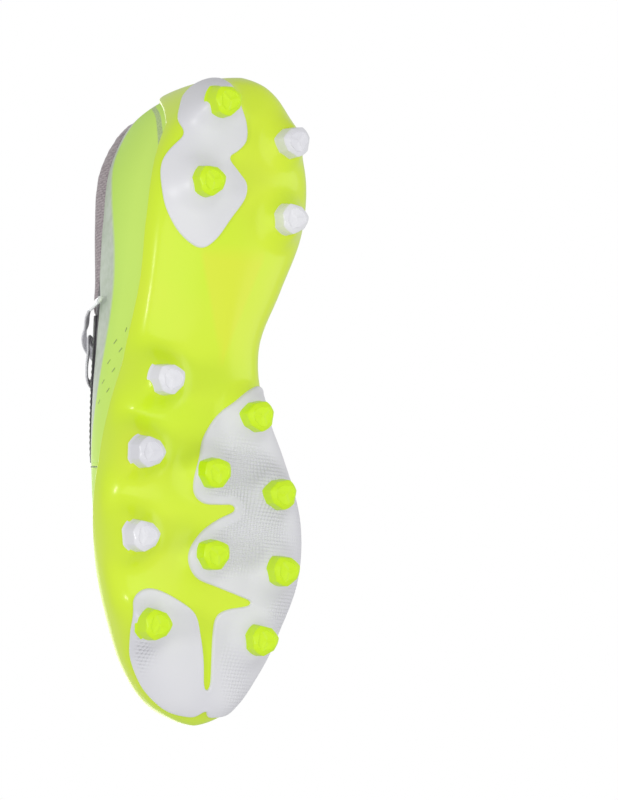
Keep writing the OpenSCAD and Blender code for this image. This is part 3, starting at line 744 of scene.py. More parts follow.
# %% [markdown]
# ## Stuffing the soft pieces
# A padded piece is foam held in by cloth, so its faces swell and its edges pull in. The drawn shell is
# remeshed into even squares and simulated as cloth with air pressure inside and no gravity. Its points
# may move only a short way, so the pad keeps its size. The result becomes the mesh.

# %% Pressure simulation
CLOTH_FRAMES = 20
CLOTH_PRESSURE = 4.0


def applied(piece):
    """Turns what the modifiers make into the piece's own mesh."""
    graph = bpy.context.evaluated_depsgraph_get()
    made = bpy.data.meshes.new_from_object(piece.evaluated_get(graph))
    piece.modifiers.clear()
    old = piece.data
    piece.data = made
    bpy.data.meshes.remove(old)
    piece.data.shade_smooth()


def corners(mesh):
    """All point places of a mesh, one row each."""
    out = np.empty(len(mesh.vertices) * 3, np.float32)
    mesh.vertices.foreach_get("co", out)
    return out.reshape(-1, 3)


def stuffed(piece, voxel_mm, cap_mm):
    """Swells a closed pad. No point moves further than cap_mm."""
    remesh = piece.modifiers.new("even squares", "REMESH")
    remesh.mode = "VOXEL"
    remesh.voxel_size = voxel_mm * MM
    applied(piece)
    cloth = piece.modifiers.new("cloth", "CLOTH")
    cloth.settings.use_pressure = True
    cloth.settings.uniform_pressure_force = CLOTH_PRESSURE
    cloth.settings.effector_weights.gravity = 0
    cloth.point_cache.frame_end = CLOTH_FRAMES
    before = corners(piece.data)
    for number in range(1, CLOTH_FRAMES + 1):
        bpy.context.scene.frame_set(number)
    graph = bpy.context.evaluated_depsgraph_get()
    moved = corners(piece.evaluated_get(graph).data) - before
    far = np.linalg.norm(moved, axis=1, keepdims=True)
    moved *= np.minimum(1, cap_mm * MM / np.maximum(far, 1e-9))
    piece.modifiers.clear()
    piece.data.vertices.foreach_set("co", (before + moved).ravel())
    piece.data.update()
    bpy.context.scene.frame_set(1)
    smooth = piece.modifiers.new("smooth", "SUBSURF")
    smooth.levels = 1
    applied(piece)
    print(piece.name, "points:", len(piece.data.vertices))


# %% [markdown]
# ## Heel lining and collar
# The lining is a pad of foam under a brushed knit. The collar is a soft roll along the mouth, thicker
# behind the ankle bones. Both are drawn as full, rounded shells, and the collar is then stuffed.

# %% Lining and collar
STIFFENER_T, PAD_T, COLLAR_T = 1.1, 3.2, 6.5
LINING_OUT = -3 * GLUE - SKIN_T - STIFFENER_T


def lining_top(s):
    return topline(s) - COLLAR_DROP + 2


lining = shell("heel_lining_pad", way_between(-5.35, 5.35, 14), level(100), lining_top, 40,
               LINING_OUT - PAD_T, LINING_OUT, rounding=2.2)
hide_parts("heel_lining")
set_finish(lining, "lining")
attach(lining, "shoe")


def collar_swell(k, turn, s):
    """Extra height of the roll, most of it behind the ankle bones."""
    ankle = 2.6 * bell(np.abs(s), 3.1, 1.3)
    return (0.5 + ankle) * np.clip(1 - np.abs(np.abs(turn) - (topline(s) - 5)) / 9, 0, 1)**0.6


COLLAR_PROUD = 0.6
collar = shell("collar_roll", way_between(-COLLAR_END, COLLAR_END, 20),
               lambda s: topline(s) - COLLAR_DROP + 1, lambda s: topline(s) + 0.5,
               34, -COLLAR_T, COLLAR_PROUD, rounding=3.2, relief=collar_swell)
stuffed(collar, 2.2, 1.2)
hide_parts("collar")
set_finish(collar, "collar")
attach(collar, "shoe")

# %% [markdown]
# ## The tongue
# The tongue is one padded knit strip. Its lower part is held under the laces, and its free top folds
# forward. It is made whole, where the CAD has two solids; the place of the fold is worked out and
# printed, but the strip is not bent there.

# %% Tongue
TONGUE_OUT = -GLUE - SKIN_T - 0.8
TONGUE_T = 3.0
TONGUE_FOLD = 5.8
half_width = curve([(4.55, 15), (4.7, 22), (5.0, 26.5), (5.5, 30), (5.8, 32), (6.2, 35), (7.2, 36), (8, 31),
                    (9, 22)])


def strip(name, k_from, k_to, columns, rows, inner, outer, half, rounding):
    """A strip over the top of the foot."""
    k = k_from + (k_to - k_from) * crowded(columns)
    v = crowded(rows)
    kk = np.repeat(k[:, None], rows, 1)
    h = half(k)[:, None]
    turn = 180 - h + 2 * h * v[None]
    degree = degree_mm(kk)
    ends = np.minimum(kk - k_from, k_to - kk) * 26
    edge = np.clip(np.minimum(ends, np.minimum(turn - 180 + h, 180 + h - turn) * degree) / rounding, 0, 1)
    thin = np.sqrt(1 - (1 - edge)**2)
    middle = (inner + outer) / 2
    points = np.concatenate([off_form(kk, turn, middle + (outer - middle) * thin).reshape(-1, 3),
                             off_form(kk, turn, middle - (middle - inner) * thin).reshape(-1, 3)])
    return make_object(name, points, [f[::-1] for f in grid_faces(columns, rows, False, False)])


tongue = strip("tongue_pad", 4.55, 9, 120, 48, TONGUE_OUT - TONGUE_T, TONGUE_OUT, half_width, 2.2)
stuffed(tongue, 1.4, 0.4)
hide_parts("tongue_base", "tongue_top")
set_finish(tongue, "tongue")
fold_at = off_form(TONGUE_FOLD, 180, TONGUE_OUT - TONGUE_T / 2)
before_fold, past_fold = off_form(TONGUE_FOLD + np.array([-0.2, 0.2]), 180, TONGUE_OUT)
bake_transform(tongue)
label = strip("tongue_patch", 4.95, 5.4, 30, 24, TONGUE_OUT - 0.3, TONGUE_OUT + 0.95,
              curve([(4.9, 12.5), (4.99, 13.6), (5.2, 14), (5.36, 13.6), (5.45, 12.5)]), 0.5)
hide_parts("tongue_label")
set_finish(label, "label")
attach(label, "tongue")
print("tongue fold at", fold_at.round(1))

# %% [markdown]
# ## Lacing panels
# A stiffer film covers each edge of the throat and carries the lace holes. Each hole has a low
# pressed rim. The panels follow the edge of the throat a millimetre inside it.

# %% Lacing panels and hole rims
EYESTAY_T = 0.8
EYESTAY_BACK, EYESTAY_FRONT, EYESTAY_LOW = 5.6, 8.1, 124
HOLE_ROWS = [7.9, 7.5, 7.1, 6.7, 6.3]
HOLE_INSET = 5
panels = []
for sign, word in ((-1, "lateral"), (1, "medial")):
    ends = sorted((sign * EYESTAY_BACK, sign * (EYESTAY_FRONT + 0.1)))
    panel = shell("eyestay_film_" + word, way_between(ends[0], ends[1], 36), level(EYESTAY_LOW),
                  lambda s: topline(s) - 0.6, 40, -0.1, GLUE / 2 + EYESTAY_T, rounding=0.6)
    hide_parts("eyestay_" + word)
    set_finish(panel, "eyestay")
    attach(panel, "shoe")
    panels.append(panel)


def ring_mesh(centre, normal, radius, wire, around_n=28, tube_n=10):
    """A flattened ring of round wire about a hole."""
    n = normal / np.linalg.norm(normal)
    a = np.cross(n, [0, 1, 0.2])
    a = a / np.linalg.norm(a)
    b = np.cross(n, a)
    pts, faces = [], []
    for i in range(around_n):
        t = 2 * np.pi * i / around_n
        d = a * np.cos(t) + b * np.sin(t)
        for j in range(tube_n):
            q = 2 * np.pi * j / tube_n
            pts.append(centre + d * (radius + wire * np.cos(q)) + n * wire * 0.6 * np.sin(q))
            i2, j2 = (i + 1) % around_n, (j + 1) % tube_n
            faces.append([i * tube_n + j, i2 * tube_n + j, i2 * tube_n + j2, i * tube_n + j2])
    return pts, faces


def joined(name, parts):
    """One object from several (points, faces) parts."""
    pts, faces = [], []
    for p, f in parts:
        faces += [[c + len(pts) for c in g] for g in f]
        pts += list(p)
    return make_object(name, pts, faces)


HOLE_R, RIM_WIRE_R = 2.0, 0.5
hole_parts = []
for k in HOLE_ROWS:
    for sign in (-1, 1):
        turn = sign * (topline(sign * k) - HOLE_INSET)
        centre = off_form(k, turn, GLUE / 2 + EYESTAY_T)
        hole_parts.append(ring_mesh(centre, normal_at(np.float64(k), turn), HOLE_R, RIM_WIRE_R))
hole_rims = joined("lace_hole_rims", hole_parts)
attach(hole_rims, "shoe")
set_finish(hole_rims, "eyestay")
print("lace holes:", len(hole_parts))

# %% [markdown]
# ## The lace
# The lace is a flat braid. A ribbon with an oval section is swept along each stretch, and its flat
# side is kept against the shoe by the form's own normal. The rows cross over the tongue from hole to
# hole, and dive into the holes at both ends.

# %% Lace maker
LACE_W, LACE_T = 4.5, 1.3


def ribbon(points, normals, width, thick, sides=14):
    """An oval ribbon along points, with its flat side facing along normals."""
    p = np.asarray(points, float)
    tangent = np.gradient(p, axis=0)
    tangent /= np.linalg.norm(tangent, axis=1, keepdims=True)
    n = np.asarray(normals, float)
    n = n - (n * tangent).sum(1, keepdims=True) * tangent
    n /= np.linalg.norm(n, axis=1, keepdims=True)
    across = np.cross(tangent, n)
    t = 2 * np.pi * np.arange(sides) / sides
    flat = np.sign(np.cos(t)) * np.abs(np.cos(t))**0.7 * width / 2
    high = np.sign(np.sin(t)) * np.abs(np.sin(t))**0.8 * thick / 2
    pts = p[:, None] + across[:, None] * flat[None, :, None] + n[:, None] * high[None, :, None]
    faces = []
    for i in range(len(p) - 1):
        a, b = i * sides, (i + 1) * sides
        faces += [[a + j, a + (j + 1) % sides, b + (j + 1) % sides, b + j] for j in range(sides)]
    faces += [list(range(sides))[::-1], [(len(p) - 1) * sides + j for j in range(sides)]]
    return list(pts.reshape(-1, 3)), faces


def over_throat(k_from, k_to, height, n=60):
    """One crossing of the lace, from the hole at k_from on the outer side to k_to on the inner side."""
    t = np.linspace(0, 1, n)
    start = -(topline(-k_from) - HOLE_INSET)
    stop = (topline(k_to) - HOLE_INSET) - 360
    turn = start + (stop - start) * t
    k = k_from + (k_to - k_from) * (t - 0.08 * np.sin(2 * np.pi * t))
    dive = np.minimum(t, 1 - t) / 0.075
    off = height - (height + 1.6) * np.clip(1 - dive, 0, 1)**2
    off = off + 0.5 * np.sin(np.pi * t)
    kk = np.clip(k, 0, TOE)
    return off_form(kk, turn, off), normal_at(kk, turn)


LACE_LOW = GLUE + EYESTAY_T + LACE_T / 2
LACE_HIGH = LACE_LOW + LACE_T + 0.25
rows = [ribbon(*over_throat(HOLE_ROWS[0], HOLE_ROWS[0], LACE_LOW), LACE_W, LACE_T)]
for i in range(len(HOLE_ROWS) - 1):
    rows.append(ribbon(*over_throat(HOLE_ROWS[i], HOLE_ROWS[i + 1], LACE_LOW), LACE_W, LACE_T))
    rows.append(ribbon(*over_throat(HOLE_ROWS[i + 1], HOLE_ROWS[i], LACE_HIGH), LACE_W, LACE_T))
lace_rows = joined("lace_crossings", rows)
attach(lace_rows, "shoe")
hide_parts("lace_rows")
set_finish(lace_rows, "lace")
print("lace stretches across the throat:", len(rows))

# %% [markdown]
# ## Stitching and air slits
# The lacing panels and the edge of the vamp are held by a row of stitches as well as glue. A few short
# slanted slits let air through the film above the waist. Stitches and slits are short ribbons laid
# along the form, all joined into one mesh for each. The slits are darker lime ribbons, painted shade
# of the open cuts.

# %% Stitches and slits
STITCH_LENGTH, STITCH_GAP, STITCH_W, STITCH_T = 2.0, 0.9, 0.55, 0.4
SLIT_W, SLIT_T = 0.7, 0.25
SLITS = [(5.9, 88), (6.25, 91), (6.6, 94), (6.95, 96), (6.1, 97), (6.45, 100), (6.8, 103), (7.15, 105)]


def stitches(path_k, path_turn, off):
    """Stitches along a line on the form."""
    line = off_form(path_k, path_turn, off)
    up_there = normal_at(path_k, path_turn)
    run = np.concatenate([[0], np.cumsum(np.linalg.norm(np.diff(line, axis=0), axis=1))])
    out = []
    for start in np.arange(0, run[-1] - STITCH_LENGTH, STITCH_LENGTH + STITCH_GAP):
        at = np.linspace(start, start + STITCH_LENGTH, 6)
        points = np.stack([np.interp(at, run, line[:, i]) for i in range(3)], 1)
        normals = np.stack([np.interp(at, run, up_there[:, i]) for i in range(3)], 1)
        sink = (np.abs(np.linspace(-1, 1, 6))**3)[:, None] * 0.3
        out.append(ribbon(points - normals * sink, normals, STITCH_W, STITCH_T, sides=8))
    return out


stitch_parts, slit_parts = [], []
for sign in (-1, 1):
    k_line = np.linspace(EYESTAY_BACK + 0.1, EYESTAY_FRONT, 80)
    panel_foot = np.full(80, sign * (EYESTAY_LOW + 1.8))
    stitch_parts += stitches(k_line, panel_foot, GLUE / 2 + EYESTAY_T + 0.1)
    turn_line = np.linspace(84, 122, 60)
    stitch_parts += stitches(np.full(60, VAMP_BACK + 0.08), sign * turn_line, 0.12)
    for k, turn in SLITS:
        t = np.linspace(-1, 1, 7)
        kk, tt = k + 0.035 * t, sign * (turn + 1.1 * t)
        slit_parts.append(ribbon(off_form(kk, tt, 0.08), normal_at(kk, tt), SLIT_W, SLIT_T, sides=8))
stitching = joined("upper_stitching", stitch_parts)
slits = joined("upper_air_slits", slit_parts)
for piece in (stitching, slits):
    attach(piece, "shoe")
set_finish(stitching, "eyestay")
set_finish(slits, "coated_upper")
print("stitches:", len(stitch_parts), "slits:", len(slit_parts))

# %% [markdown]
# ## The bow
# The bow's two loops and two tails hang free, so each is a cord of its own length. Their middle lines
# pass through the same points as the CAD tubes. They lie on the upper, with the knot over the top of
# the lacing.

# %% Loops and tails
LOOP_OUTER = [(-3, -18, 110.5), (-11, -21, 109.5), (-17.5, -23, 106.5), (-22.5, -25, 102), (-27, -26, 96),
              (-31.5, -24.5, 88), (-34, -19.5, 82), (-35, -13, 80.5), (-33, -7.5, 83.5), (-28.5, -5, 89),
              (-24, -6, 96), (-18, -8.5, 102), (-11.5, -11, 106.5), (-3, -14, 109)]
LOOP_INNER = [(3, -18, 110.5), (9, -21, 109.5), (13.5, -23, 106), (16.5, -25, 101), (19, -26, 95),
              (21.5, -24.5, 88), (23, -19.5, 82), (23.5, -13, 80), (22.5, -8, 83), (20, -5.5, 88.5),
              (17.5, -6.5, 95.5), (13.5, -8.5, 101.5), (9, -11, 106), (3, -14, 109)]
TAIL_OUTER = [(-3, -14.5, 113), (-13.5, -17.5, 112.5), (-19.5, -21, 110), (-24.5, -24.5, 105.5),
              (-28, -28.5, 100), (-30, -32, 94), (-32.5, -36.5, 88.5), (-34.5, -39.5, 82)]
TAIL_INNER = [(3, -14.5, 113), (11, -17.5, 112), (15.5, -21, 109), (19, -24, 104.5), (21, -27.5, 99),
              (22.5, -31.5, 93.5), (24.5, -35.5, 88), (27.5, -38.5, 82)]
AGLET_OUTER_END, AGLET_INNER_END = (-39.5, -43, 62), (32.5, -41.5, 62)
SPINE = np.array([0, -20, 60])


def smooth_line(points, n):
    """A smooth open curve through the points, with n steps from one to the next."""
    p = np.array(points, float)[:, None] + CENTRE
    padded = np.concatenate([p[:1], p, p[-1:]])
    t = (np.arange(n) / n)[None, :, None]
    curved = through(padded[:-3], padded[1:-2], padded[2:-1], padded[3:], t)
    return np.vstack([curved.reshape(-1, 3), p[-1]])


def run_length(points):
    return float(np.linalg.norm(np.diff(points, axis=0), axis=1).sum())


def free_lace(name, points, node_name):
    """A loose stretch of lace: a ribbon along a smooth line through the points, with its length printed."""
    path = smooth_line(points, 8)
    made = make_object(name, *ribbon(path, path - SPINE, LACE_W, LACE_T))
    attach(made, "shoe")
    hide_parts(node_name)
    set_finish(made, "lace")
    print(name, "length", round(run_length(path), 1), "mm")
    return made


AGLET_W, AGLET_T, AGLET_SIDES = 3.4, 2.2, 20


def aglet(name, start, stop, node_name):
    """The sleeve on a lace end: an oval tube, squeezed a little at both ends."""
    a, b = np.array(start, float) + CENTRE, np.array(stop, float) + CENTRE
    t = np.concatenate([np.linspace(0, 0.04, 3), np.linspace(0.08, 0.92, 12), np.linspace(0.96, 1, 3)])
    path = a + (b - a) * t[:, None]
    pts, faces = ribbon(path, path - SPINE, AGLET_W, AGLET_T, sides=AGLET_SIDES)
    pts = np.array(pts).reshape(len(t), AGLET_SIDES, 3)
    squeeze = 1 - 0.3 * np.clip((np.abs(t - 0.5) - 0.44) / 0.06, 0, 1)**2
    pts = path[:, None] + (pts - path[:, None]) * squeeze[:, None, None]
    made = make_object(name, pts.reshape(-1, 3), faces)
    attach(made, "shoe")
    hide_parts(node_name)
    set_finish(made, "aglet")
    return made


aglet_outer = aglet("aglet_sleeve_lateral", TAIL_OUTER[-1], AGLET_OUTER_END, "aglet_lateral")
aglet_inner = aglet("aglet_sleeve_medial", TAIL_INNER[-1], AGLET_INNER_END, "aglet_medial")
loops = [free_lace("lace_bow_lateral", LOOP_OUTER, "lace_loop_lateral"),
         free_lace("lace_bow_medial", LOOP_INNER, "lace_loop_medial")]
tails = [free_lace("lace_end_lateral", TAIL_OUTER, "lace_tail_lateral"),
         free_lace("lace_end_medial", TAIL_INNER, "lace_tail_medial")]

# %% [markdown]
# ## The knot
# The middle of the bow is one turn of the lace drawn tight round the two loops. It is a short wide
# band of braid, wrapped once about a small core.

# %% Knot
KNOT_AT = np.array([0, -16.2, 111.2]) + CENTRE
wrap_t = np.linspace(0, 2 * np.pi * 1.04, 48)
wrap = KNOT_AT + np.stack([0.5 * np.cos(wrap_t * 0.5), 3.4 * np.cos(wrap_t), 2.1 * np.sin(wrap_t)], 1)
wrap_n = np.stack([np.zeros(48), np.cos(wrap_t), 1.3 * np.sin(wrap_t)], 1)
core_t = np.linspace(-1, 1, 24)
core = KNOT_AT + np.stack([4.2 * core_t, 0.6 * core_t**2, -0.5 * core_t**2], 1)
knot = joined("lace_bow_knot", [ribbon(wrap, wrap_n, 5.6, 1.4),
                                ribbon(core, np.tile([0, 0.2, 1.0], (24, 1)), 5.6, 3.4)])
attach(knot, "shoe")
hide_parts("lace_knot")
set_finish(knot, "lace")

# %% [markdown]
# ## Finishes
# Colours are written as sRGB hex, as a maker's colour card gives them, and turned to the linear values
# that the renderer works in. One function adds any node with its settings and its links, and each
# material is then a short recipe.

# %% Material helpers
def linear(code):
    c = [int(code[i:i + 2], 16) / 255 for i in (1, 3, 5)]
    return tuple(v / 12.92 if v <= 0.04045 else ((v + 0.055) / 1.055)**2.4 for v in c) + (1.0,)


def start_material(name):
    made = bpy.data.materials.new(name)
    made.use_nodes = True
    tree = made.node_tree
    shader = tree.nodes["Principled BSDF"]
    return made, tree, shader


def set_sockets(tree, node, **inputs):
    """Sets sockets to values or (node, output) links. Base_Color is a name with a space, _6 a number."""
    for key, value in inputs.items():
        socket = node.inputs[int(key[1:]) if key[1:].isdigit() else key.replace("_", " ")]
        if isinstance(value, tuple) and len(value) == 2 and hasattr(value[0], "outputs"):
            tree.links.new(value[0].outputs[value[1]], socket)
        else:
            socket.default_value = value


def add(tree, kind, settings=None, **inputs):
    """Adds a node with its settings, values and links."""
    made = tree.nodes.new(kind)
    for key, value in (settings or {}).items():
        setattr(made, key, value)
    set_sockets(tree, made, **inputs)
    return made


# A mix node has one set of sockets for each kind of data. For colours they are 6 and 7 in, and 2 out.
COLOURS = {"data_type": "RGBA"}


def ramp(tree, source, stops):
    made = add(tree, "ShaderNodeValToRGB", Fac=source)
    points = made.color_ramp.elements
    while len(points) < len(stops):
        points.new(0.5)
    for point, (place, colour) in zip(points, stops):
        point.position = place
        point.color = linear(colour) if isinstance(colour, str) else (colour, colour, colour, 1)
    return made


def dress(pieces, made):
    for piece in pieces:
        piece.data.materials.clear()
        piece.data.materials.append(made)


# %% [markdown]
# ### Yellow-green moulded polyurethane
# Thermoplastic polyurethane comes out of a polished mould glossy, with a faint orange peel. Its index
# of refraction is about 1.5. A satin body under a thin coat gives soft streaks of light on the curved
# edges, and keeps the colour deep where the surface turns away.

# %% Plate and stud plastic
def moulded_plastic(name, base, warm, roughness, peel_mm, peel_depth, coat=0.0, facet_shade=None):
    made, tree, shader = start_material(name)
    place = add(tree, "ShaderNodeTexCoord")
    cloud = add(tree, "ShaderNodeTexNoise", Vector=(place, "Object"), Scale=18.0, Detail=2.0)
    tint = ramp(tree, (cloud, "Fac"), [(0.38, base), (0.66, warm)])
    # An optional colour painted over the V-shaped patch in the plate's waist: painted shade of a shallow flat
    # face.
    if facet_shade:
        share = add(tree, "ShaderNodeAttribute", {"attribute_name": "facet_shade"})
        colour = add(tree, "ShaderNodeMix", COLOURS, _0=(share, "Fac"), _6=(tint, "Color"), _7=linear(facet_shade))
        set_sockets(tree, shader, Base_Color=(colour, 2))
    else:
        set_sockets(tree, shader, Base_Color=(tint, "Color"))
    peel = add(tree, "ShaderNodeTexNoise", Vector=(place, "Object"), Scale=1 / (peel_mm * MM), Detail=3.0)
    bump = add(tree, "ShaderNodeBump", Strength=0.25, Distance=peel_depth * MM, Height=(peel, "Fac"))
    gloss = add(tree, "ShaderNodeTexNoise", Vector=(place, "Object"), Scale=60.0, Detail=4.0)
    rough = add(tree, "ShaderNodeMapRange", Value=(gloss, "Fac"), To_Min=roughness - 0.04,
                To_Max=roughness + 0.07)
    set_sockets(tree, shader, Roughness=(rough, "Result"), Normal=(bump, "Normal"), IOR=1.5, Coat_Weight=coat,
                Coat_Roughness=0.13, Specular_IOR_Level=0.34)
    return made


# The last colour given here is the painted shade of the flat face in the plate's waist.
volt_plate = moulded_plastic("polyurethane_volt_glossy", "#d1ee2e", "#d6ec36", 0.3, 1.1, 0.05, coat=0.28,
                             facet_shade="#dbe936")
volt_stud = moulded_plastic("polyurethane_volt_stud", "#cdf021", "#c6ec1c", 0.34, 0.9, 0.06)
white_stud = moulded_plastic("polyurethane_white_stud", "#e6e6ea", "#dcdce2", 0.26, 1.4, 0.12, coat=0.3)
dress([plate], volt_plate)
dress([p for p in stud_pieces if p.get("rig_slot") == "volt_stud"], volt_stud)
dress([p for p in stud_pieces if p.get("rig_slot") == "white_stud"], white_stud)

# %% [markdown]
# ### White inlay
# The inlay is the same plastic in white, from a mould with a satin finish. Round the studs it is
# smooth, and between them the mould has patches of small dimples. Two crossed waves of 2.3 mm put them
# about 1.6 mm apart, a little coarser than the real ones, so that they show.

# %% Inlay plastic
DIMPLE_WAVE, DIMPLE_DEPTH = 2.3, 0.22


def inlay_plastic(name, dimples):
    made, tree, shader = start_material(name)
    place = add(tree, "ShaderNodeTexCoord")
    cloud = add(tree, "ShaderNodeTexNoise", Vector=(place, "Object"), Scale=25.0, Detail=2.0)
    tint = ramp(tree, (cloud, "Fac"), [(0.35, "#dfdfe3"), (0.65, "#d8d8de")])
    set_sockets(tree, shader, Base_Color=(tint, "Color"), IOR=1.5, Roughness=0.38)
    if dimples:
        turned = add(tree, "ShaderNodeMapping", Vector=(place, "Object"), Rotation=(0, 0, math.radians(42)))
        split = add(tree, "ShaderNodeSeparateXYZ", Vector=(turned, "Vector"))
        pitch = 2 * math.pi / (DIMPLE_WAVE * MM)
        waves = []
        for axis in ("X", "Y"):
            scaled = add(tree, "ShaderNodeMath", {"operation": "MULTIPLY"}, _0=(split, axis), _1=pitch)
            waves.append(add(tree, "ShaderNodeMath", {"operation": "SINE"}, _0=(scaled, "Value")))
        both = add(tree, "ShaderNodeMath", {"operation": "MULTIPLY"}, _0=(waves[0], "Value"),
                   _1=(waves[1], "Value"))
        patches = add(tree, "ShaderNodeTexNoise", Vector=(place, "Object"), Scale=22.0, Detail=1.0)
        field = add(tree, "ShaderNodeMapRange", Value=(patches, "Fac"), From_Min=0.45, From_Max=0.58)
        edge = add(tree, "ShaderNodeAttribute", {"attribute_name": "edge"})
        clear = add(tree, "ShaderNodeMapRange", Value=(edge, "Fac"), From_Min=2.5, From_Max=5.0)
        masked = add(tree, "ShaderNodeMath", {"operation": "MULTIPLY"}, _0=(field, "Result"),
                     _1=(clear, "Result"))
        height = add(tree, "ShaderNodeMath", {"operation": "MULTIPLY"}, _0=(both, "Value"),
                     _1=(masked, "Value"))
        bump = add(tree, "ShaderNodeBump", Strength=1.0, Distance=DIMPLE_DEPTH * MM, Height=(height, "Value"))
    else:
        grain = add(tree, "ShaderNodeTexNoise", Vector=(place, "Object"), Scale=900.0, Detail=2.0)
        bump = add(tree, "ShaderNodeBump", Strength=0.2, Distance=0.05 * MM, Height=(grain, "Fac"))
    set_sockets(tree, shader, Normal=(bump, "Normal"))
    return made


dress([heel_inlay], inlay_plastic("polyurethane_white_satin", False))
dress([forefoot_inlay], inlay_plastic("polyurethane_white_dimpled", True))

# %% [markdown]
# ### Coated knit upper
# The upper is a fine knit with a thin matt film pressed on. Lime film covers the lower half and fades
# to a grey-green above, and the throat is charcoal. A thin band of open mesh shows behind the heel
# counter. The zones follow the way round the shoe and the turn up its side, so each point carries how
# far it is past each zone's line, and the finish draws a clean edge there.

# %% Upper zones
grey_line = curve([(0, 128), (1, 128), (2, 127), (2.6, 125), (3.5, 116), (4.5, 108), (5.5, 106), (6.5, 108),
                   (7.5, 112), (9, 118), (11, 132), (13, 150), (14, 160)])
dark_line = curve([(0, 175), (3, 172), (4, 150), (4.6, 128), (5.5, 120), (7, 121), (8, 128), (8.6, 146),
                   (9.2, 168), (9.6, 184), (14, 184)])
band_line = curve([(0, 130), (1, 124), (1.4, 118), (2, 105), (2.5, 95), (3, 86), (3.4, 79), (4, 60),
                   (14, 40)])


def zones(piece):
    """Keeps how far each point is past each line, in degrees."""
    n = len(piece.data.vertices)
    turn, way = np.empty(n, np.float32), np.empty(n, np.float32)
    piece.data.attributes["turn"].data.foreach_get("value", turn)
    piece.data.attributes["way"].data.foreach_get("value", way)
    k = round_k(way)
    paint(piece, "past_grey", turn - grey_line(k))
    paint(piece, "past_dark", turn - dark_line(k))
    paint(piece, "past_band", turn - band_line(k))
    paint(piece, "fade", np.clip((turn - 70) / 60, 0, 1))


for piece in (vamp, lateral, medial):
    zones(piece)


# %% Coated knit
def coated_knit(name):
    made, tree, shader = start_material(name)
    place = add(tree, "ShaderNodeTexCoord")
    fade = add(tree, "ShaderNodeAttribute", {"attribute_name": "fade"})
    lime = ramp(tree, (fade, "Fac"), [(0.0, "#d2f56a"), (0.45, "#d2f768"), (1.0, "#bbe84c")])
    knit = add(tree, "ShaderNodeTexVoronoi", Vector=(place, "Object"), Scale=1 / (0.9 * MM))
    mottle = add(tree, "ShaderNodeTexNoise", Vector=(place, "Object"), Scale=300.0, Detail=3.0)
    grey_tint = ramp(tree, (mottle, "Fac"), [(0.3, "#bcc9b4"), (0.7, "#cbd5c6")])
    dark_tint = ramp(tree, (mottle, "Fac"), [(0.3, "#353338"), (0.7, "#48464a")])
    past = {line: add(tree, "ShaderNodeAttribute", {"attribute_name": "past_" + line})
            for line in ("grey", "dark", "band")}
    grey = add(tree, "ShaderNodeMapRange", Value=(past["grey"], "Fac"), From_Min=-1.2, From_Max=1.2)
    dark = add(tree, "ShaderNodeMapRange", Value=(past["dark"], "Fac"), From_Min=-0.4, From_Max=0.4)
    band_low = add(tree, "ShaderNodeMapRange", Value=(past["band"], "Fac"), From_Min=-3.4, From_Max=-2.8)
    band_high = add(tree, "ShaderNodeMapRange", Value=(past["band"], "Fac"), From_Min=0.6, From_Max=0.0)
    band = add(tree, "ShaderNodeMath", {"operation": "MULTIPLY"}, _0=(band_low, "Result"),
               _1=(band_high, "Result"))
    band_tint = ramp(tree, (knit, "Distance"), [(0.1, "#98b672"), (0.6, "#bdd390")])
    with_band = add(tree, "ShaderNodeMix", COLOURS, Factor=(band, "Value"), _6=(lime, "Color"),
                    _7=(band_tint, "Color"))
    with_grey = add(tree, "ShaderNodeMix", COLOURS, Factor=(grey, "Result"), _6=(with_band, 2),
                    _7=(grey_tint, "Color"))
    whole = add(tree, "ShaderNodeMix", COLOURS, Factor=(dark, "Result"), _6=(with_grey, 2),
                _7=(dark_tint, "Color"))
    loops_bump = add(tree, "ShaderNodeBump", Strength=0.3, Distance=0.12 * MM, Height=(knit, "Distance"))
    fine_bump = add(tree, "ShaderNodeBump", Strength=0.2, Distance=0.08 * MM, Height=(mottle, "Fac"),
                    Normal=(loops_bump, "Normal"))
    set_sockets(tree, shader, Base_Color=(whole, 2), Roughness=0.52, IOR=1.48, Normal=(fine_bump, "Normal"))
    return made


upper_cloth = coated_knit("knit_with_lime_film")
dress([vamp, lateral, medial], upper_cloth)

# %% [markdown]
# ### Cloths
# The collar is a melange knit in pinkish grey, the tongue and lining are charcoal knits, the lace is a
# white braid. A woven or knitted look comes from crossed bands at the yarn spacing, a little coarser
# than real so that it shows. The colour follows the bands' height as well as a random speck of yarn
# tone: it is darker in the hollows, painted shade, and lighter on the yarn tops, painted highlight.

# %% Cloth maker
YARN_TURN = tuple(math.radians(degrees) for degrees in (20, 15, 45))
WAVE_SCALE = 0.314


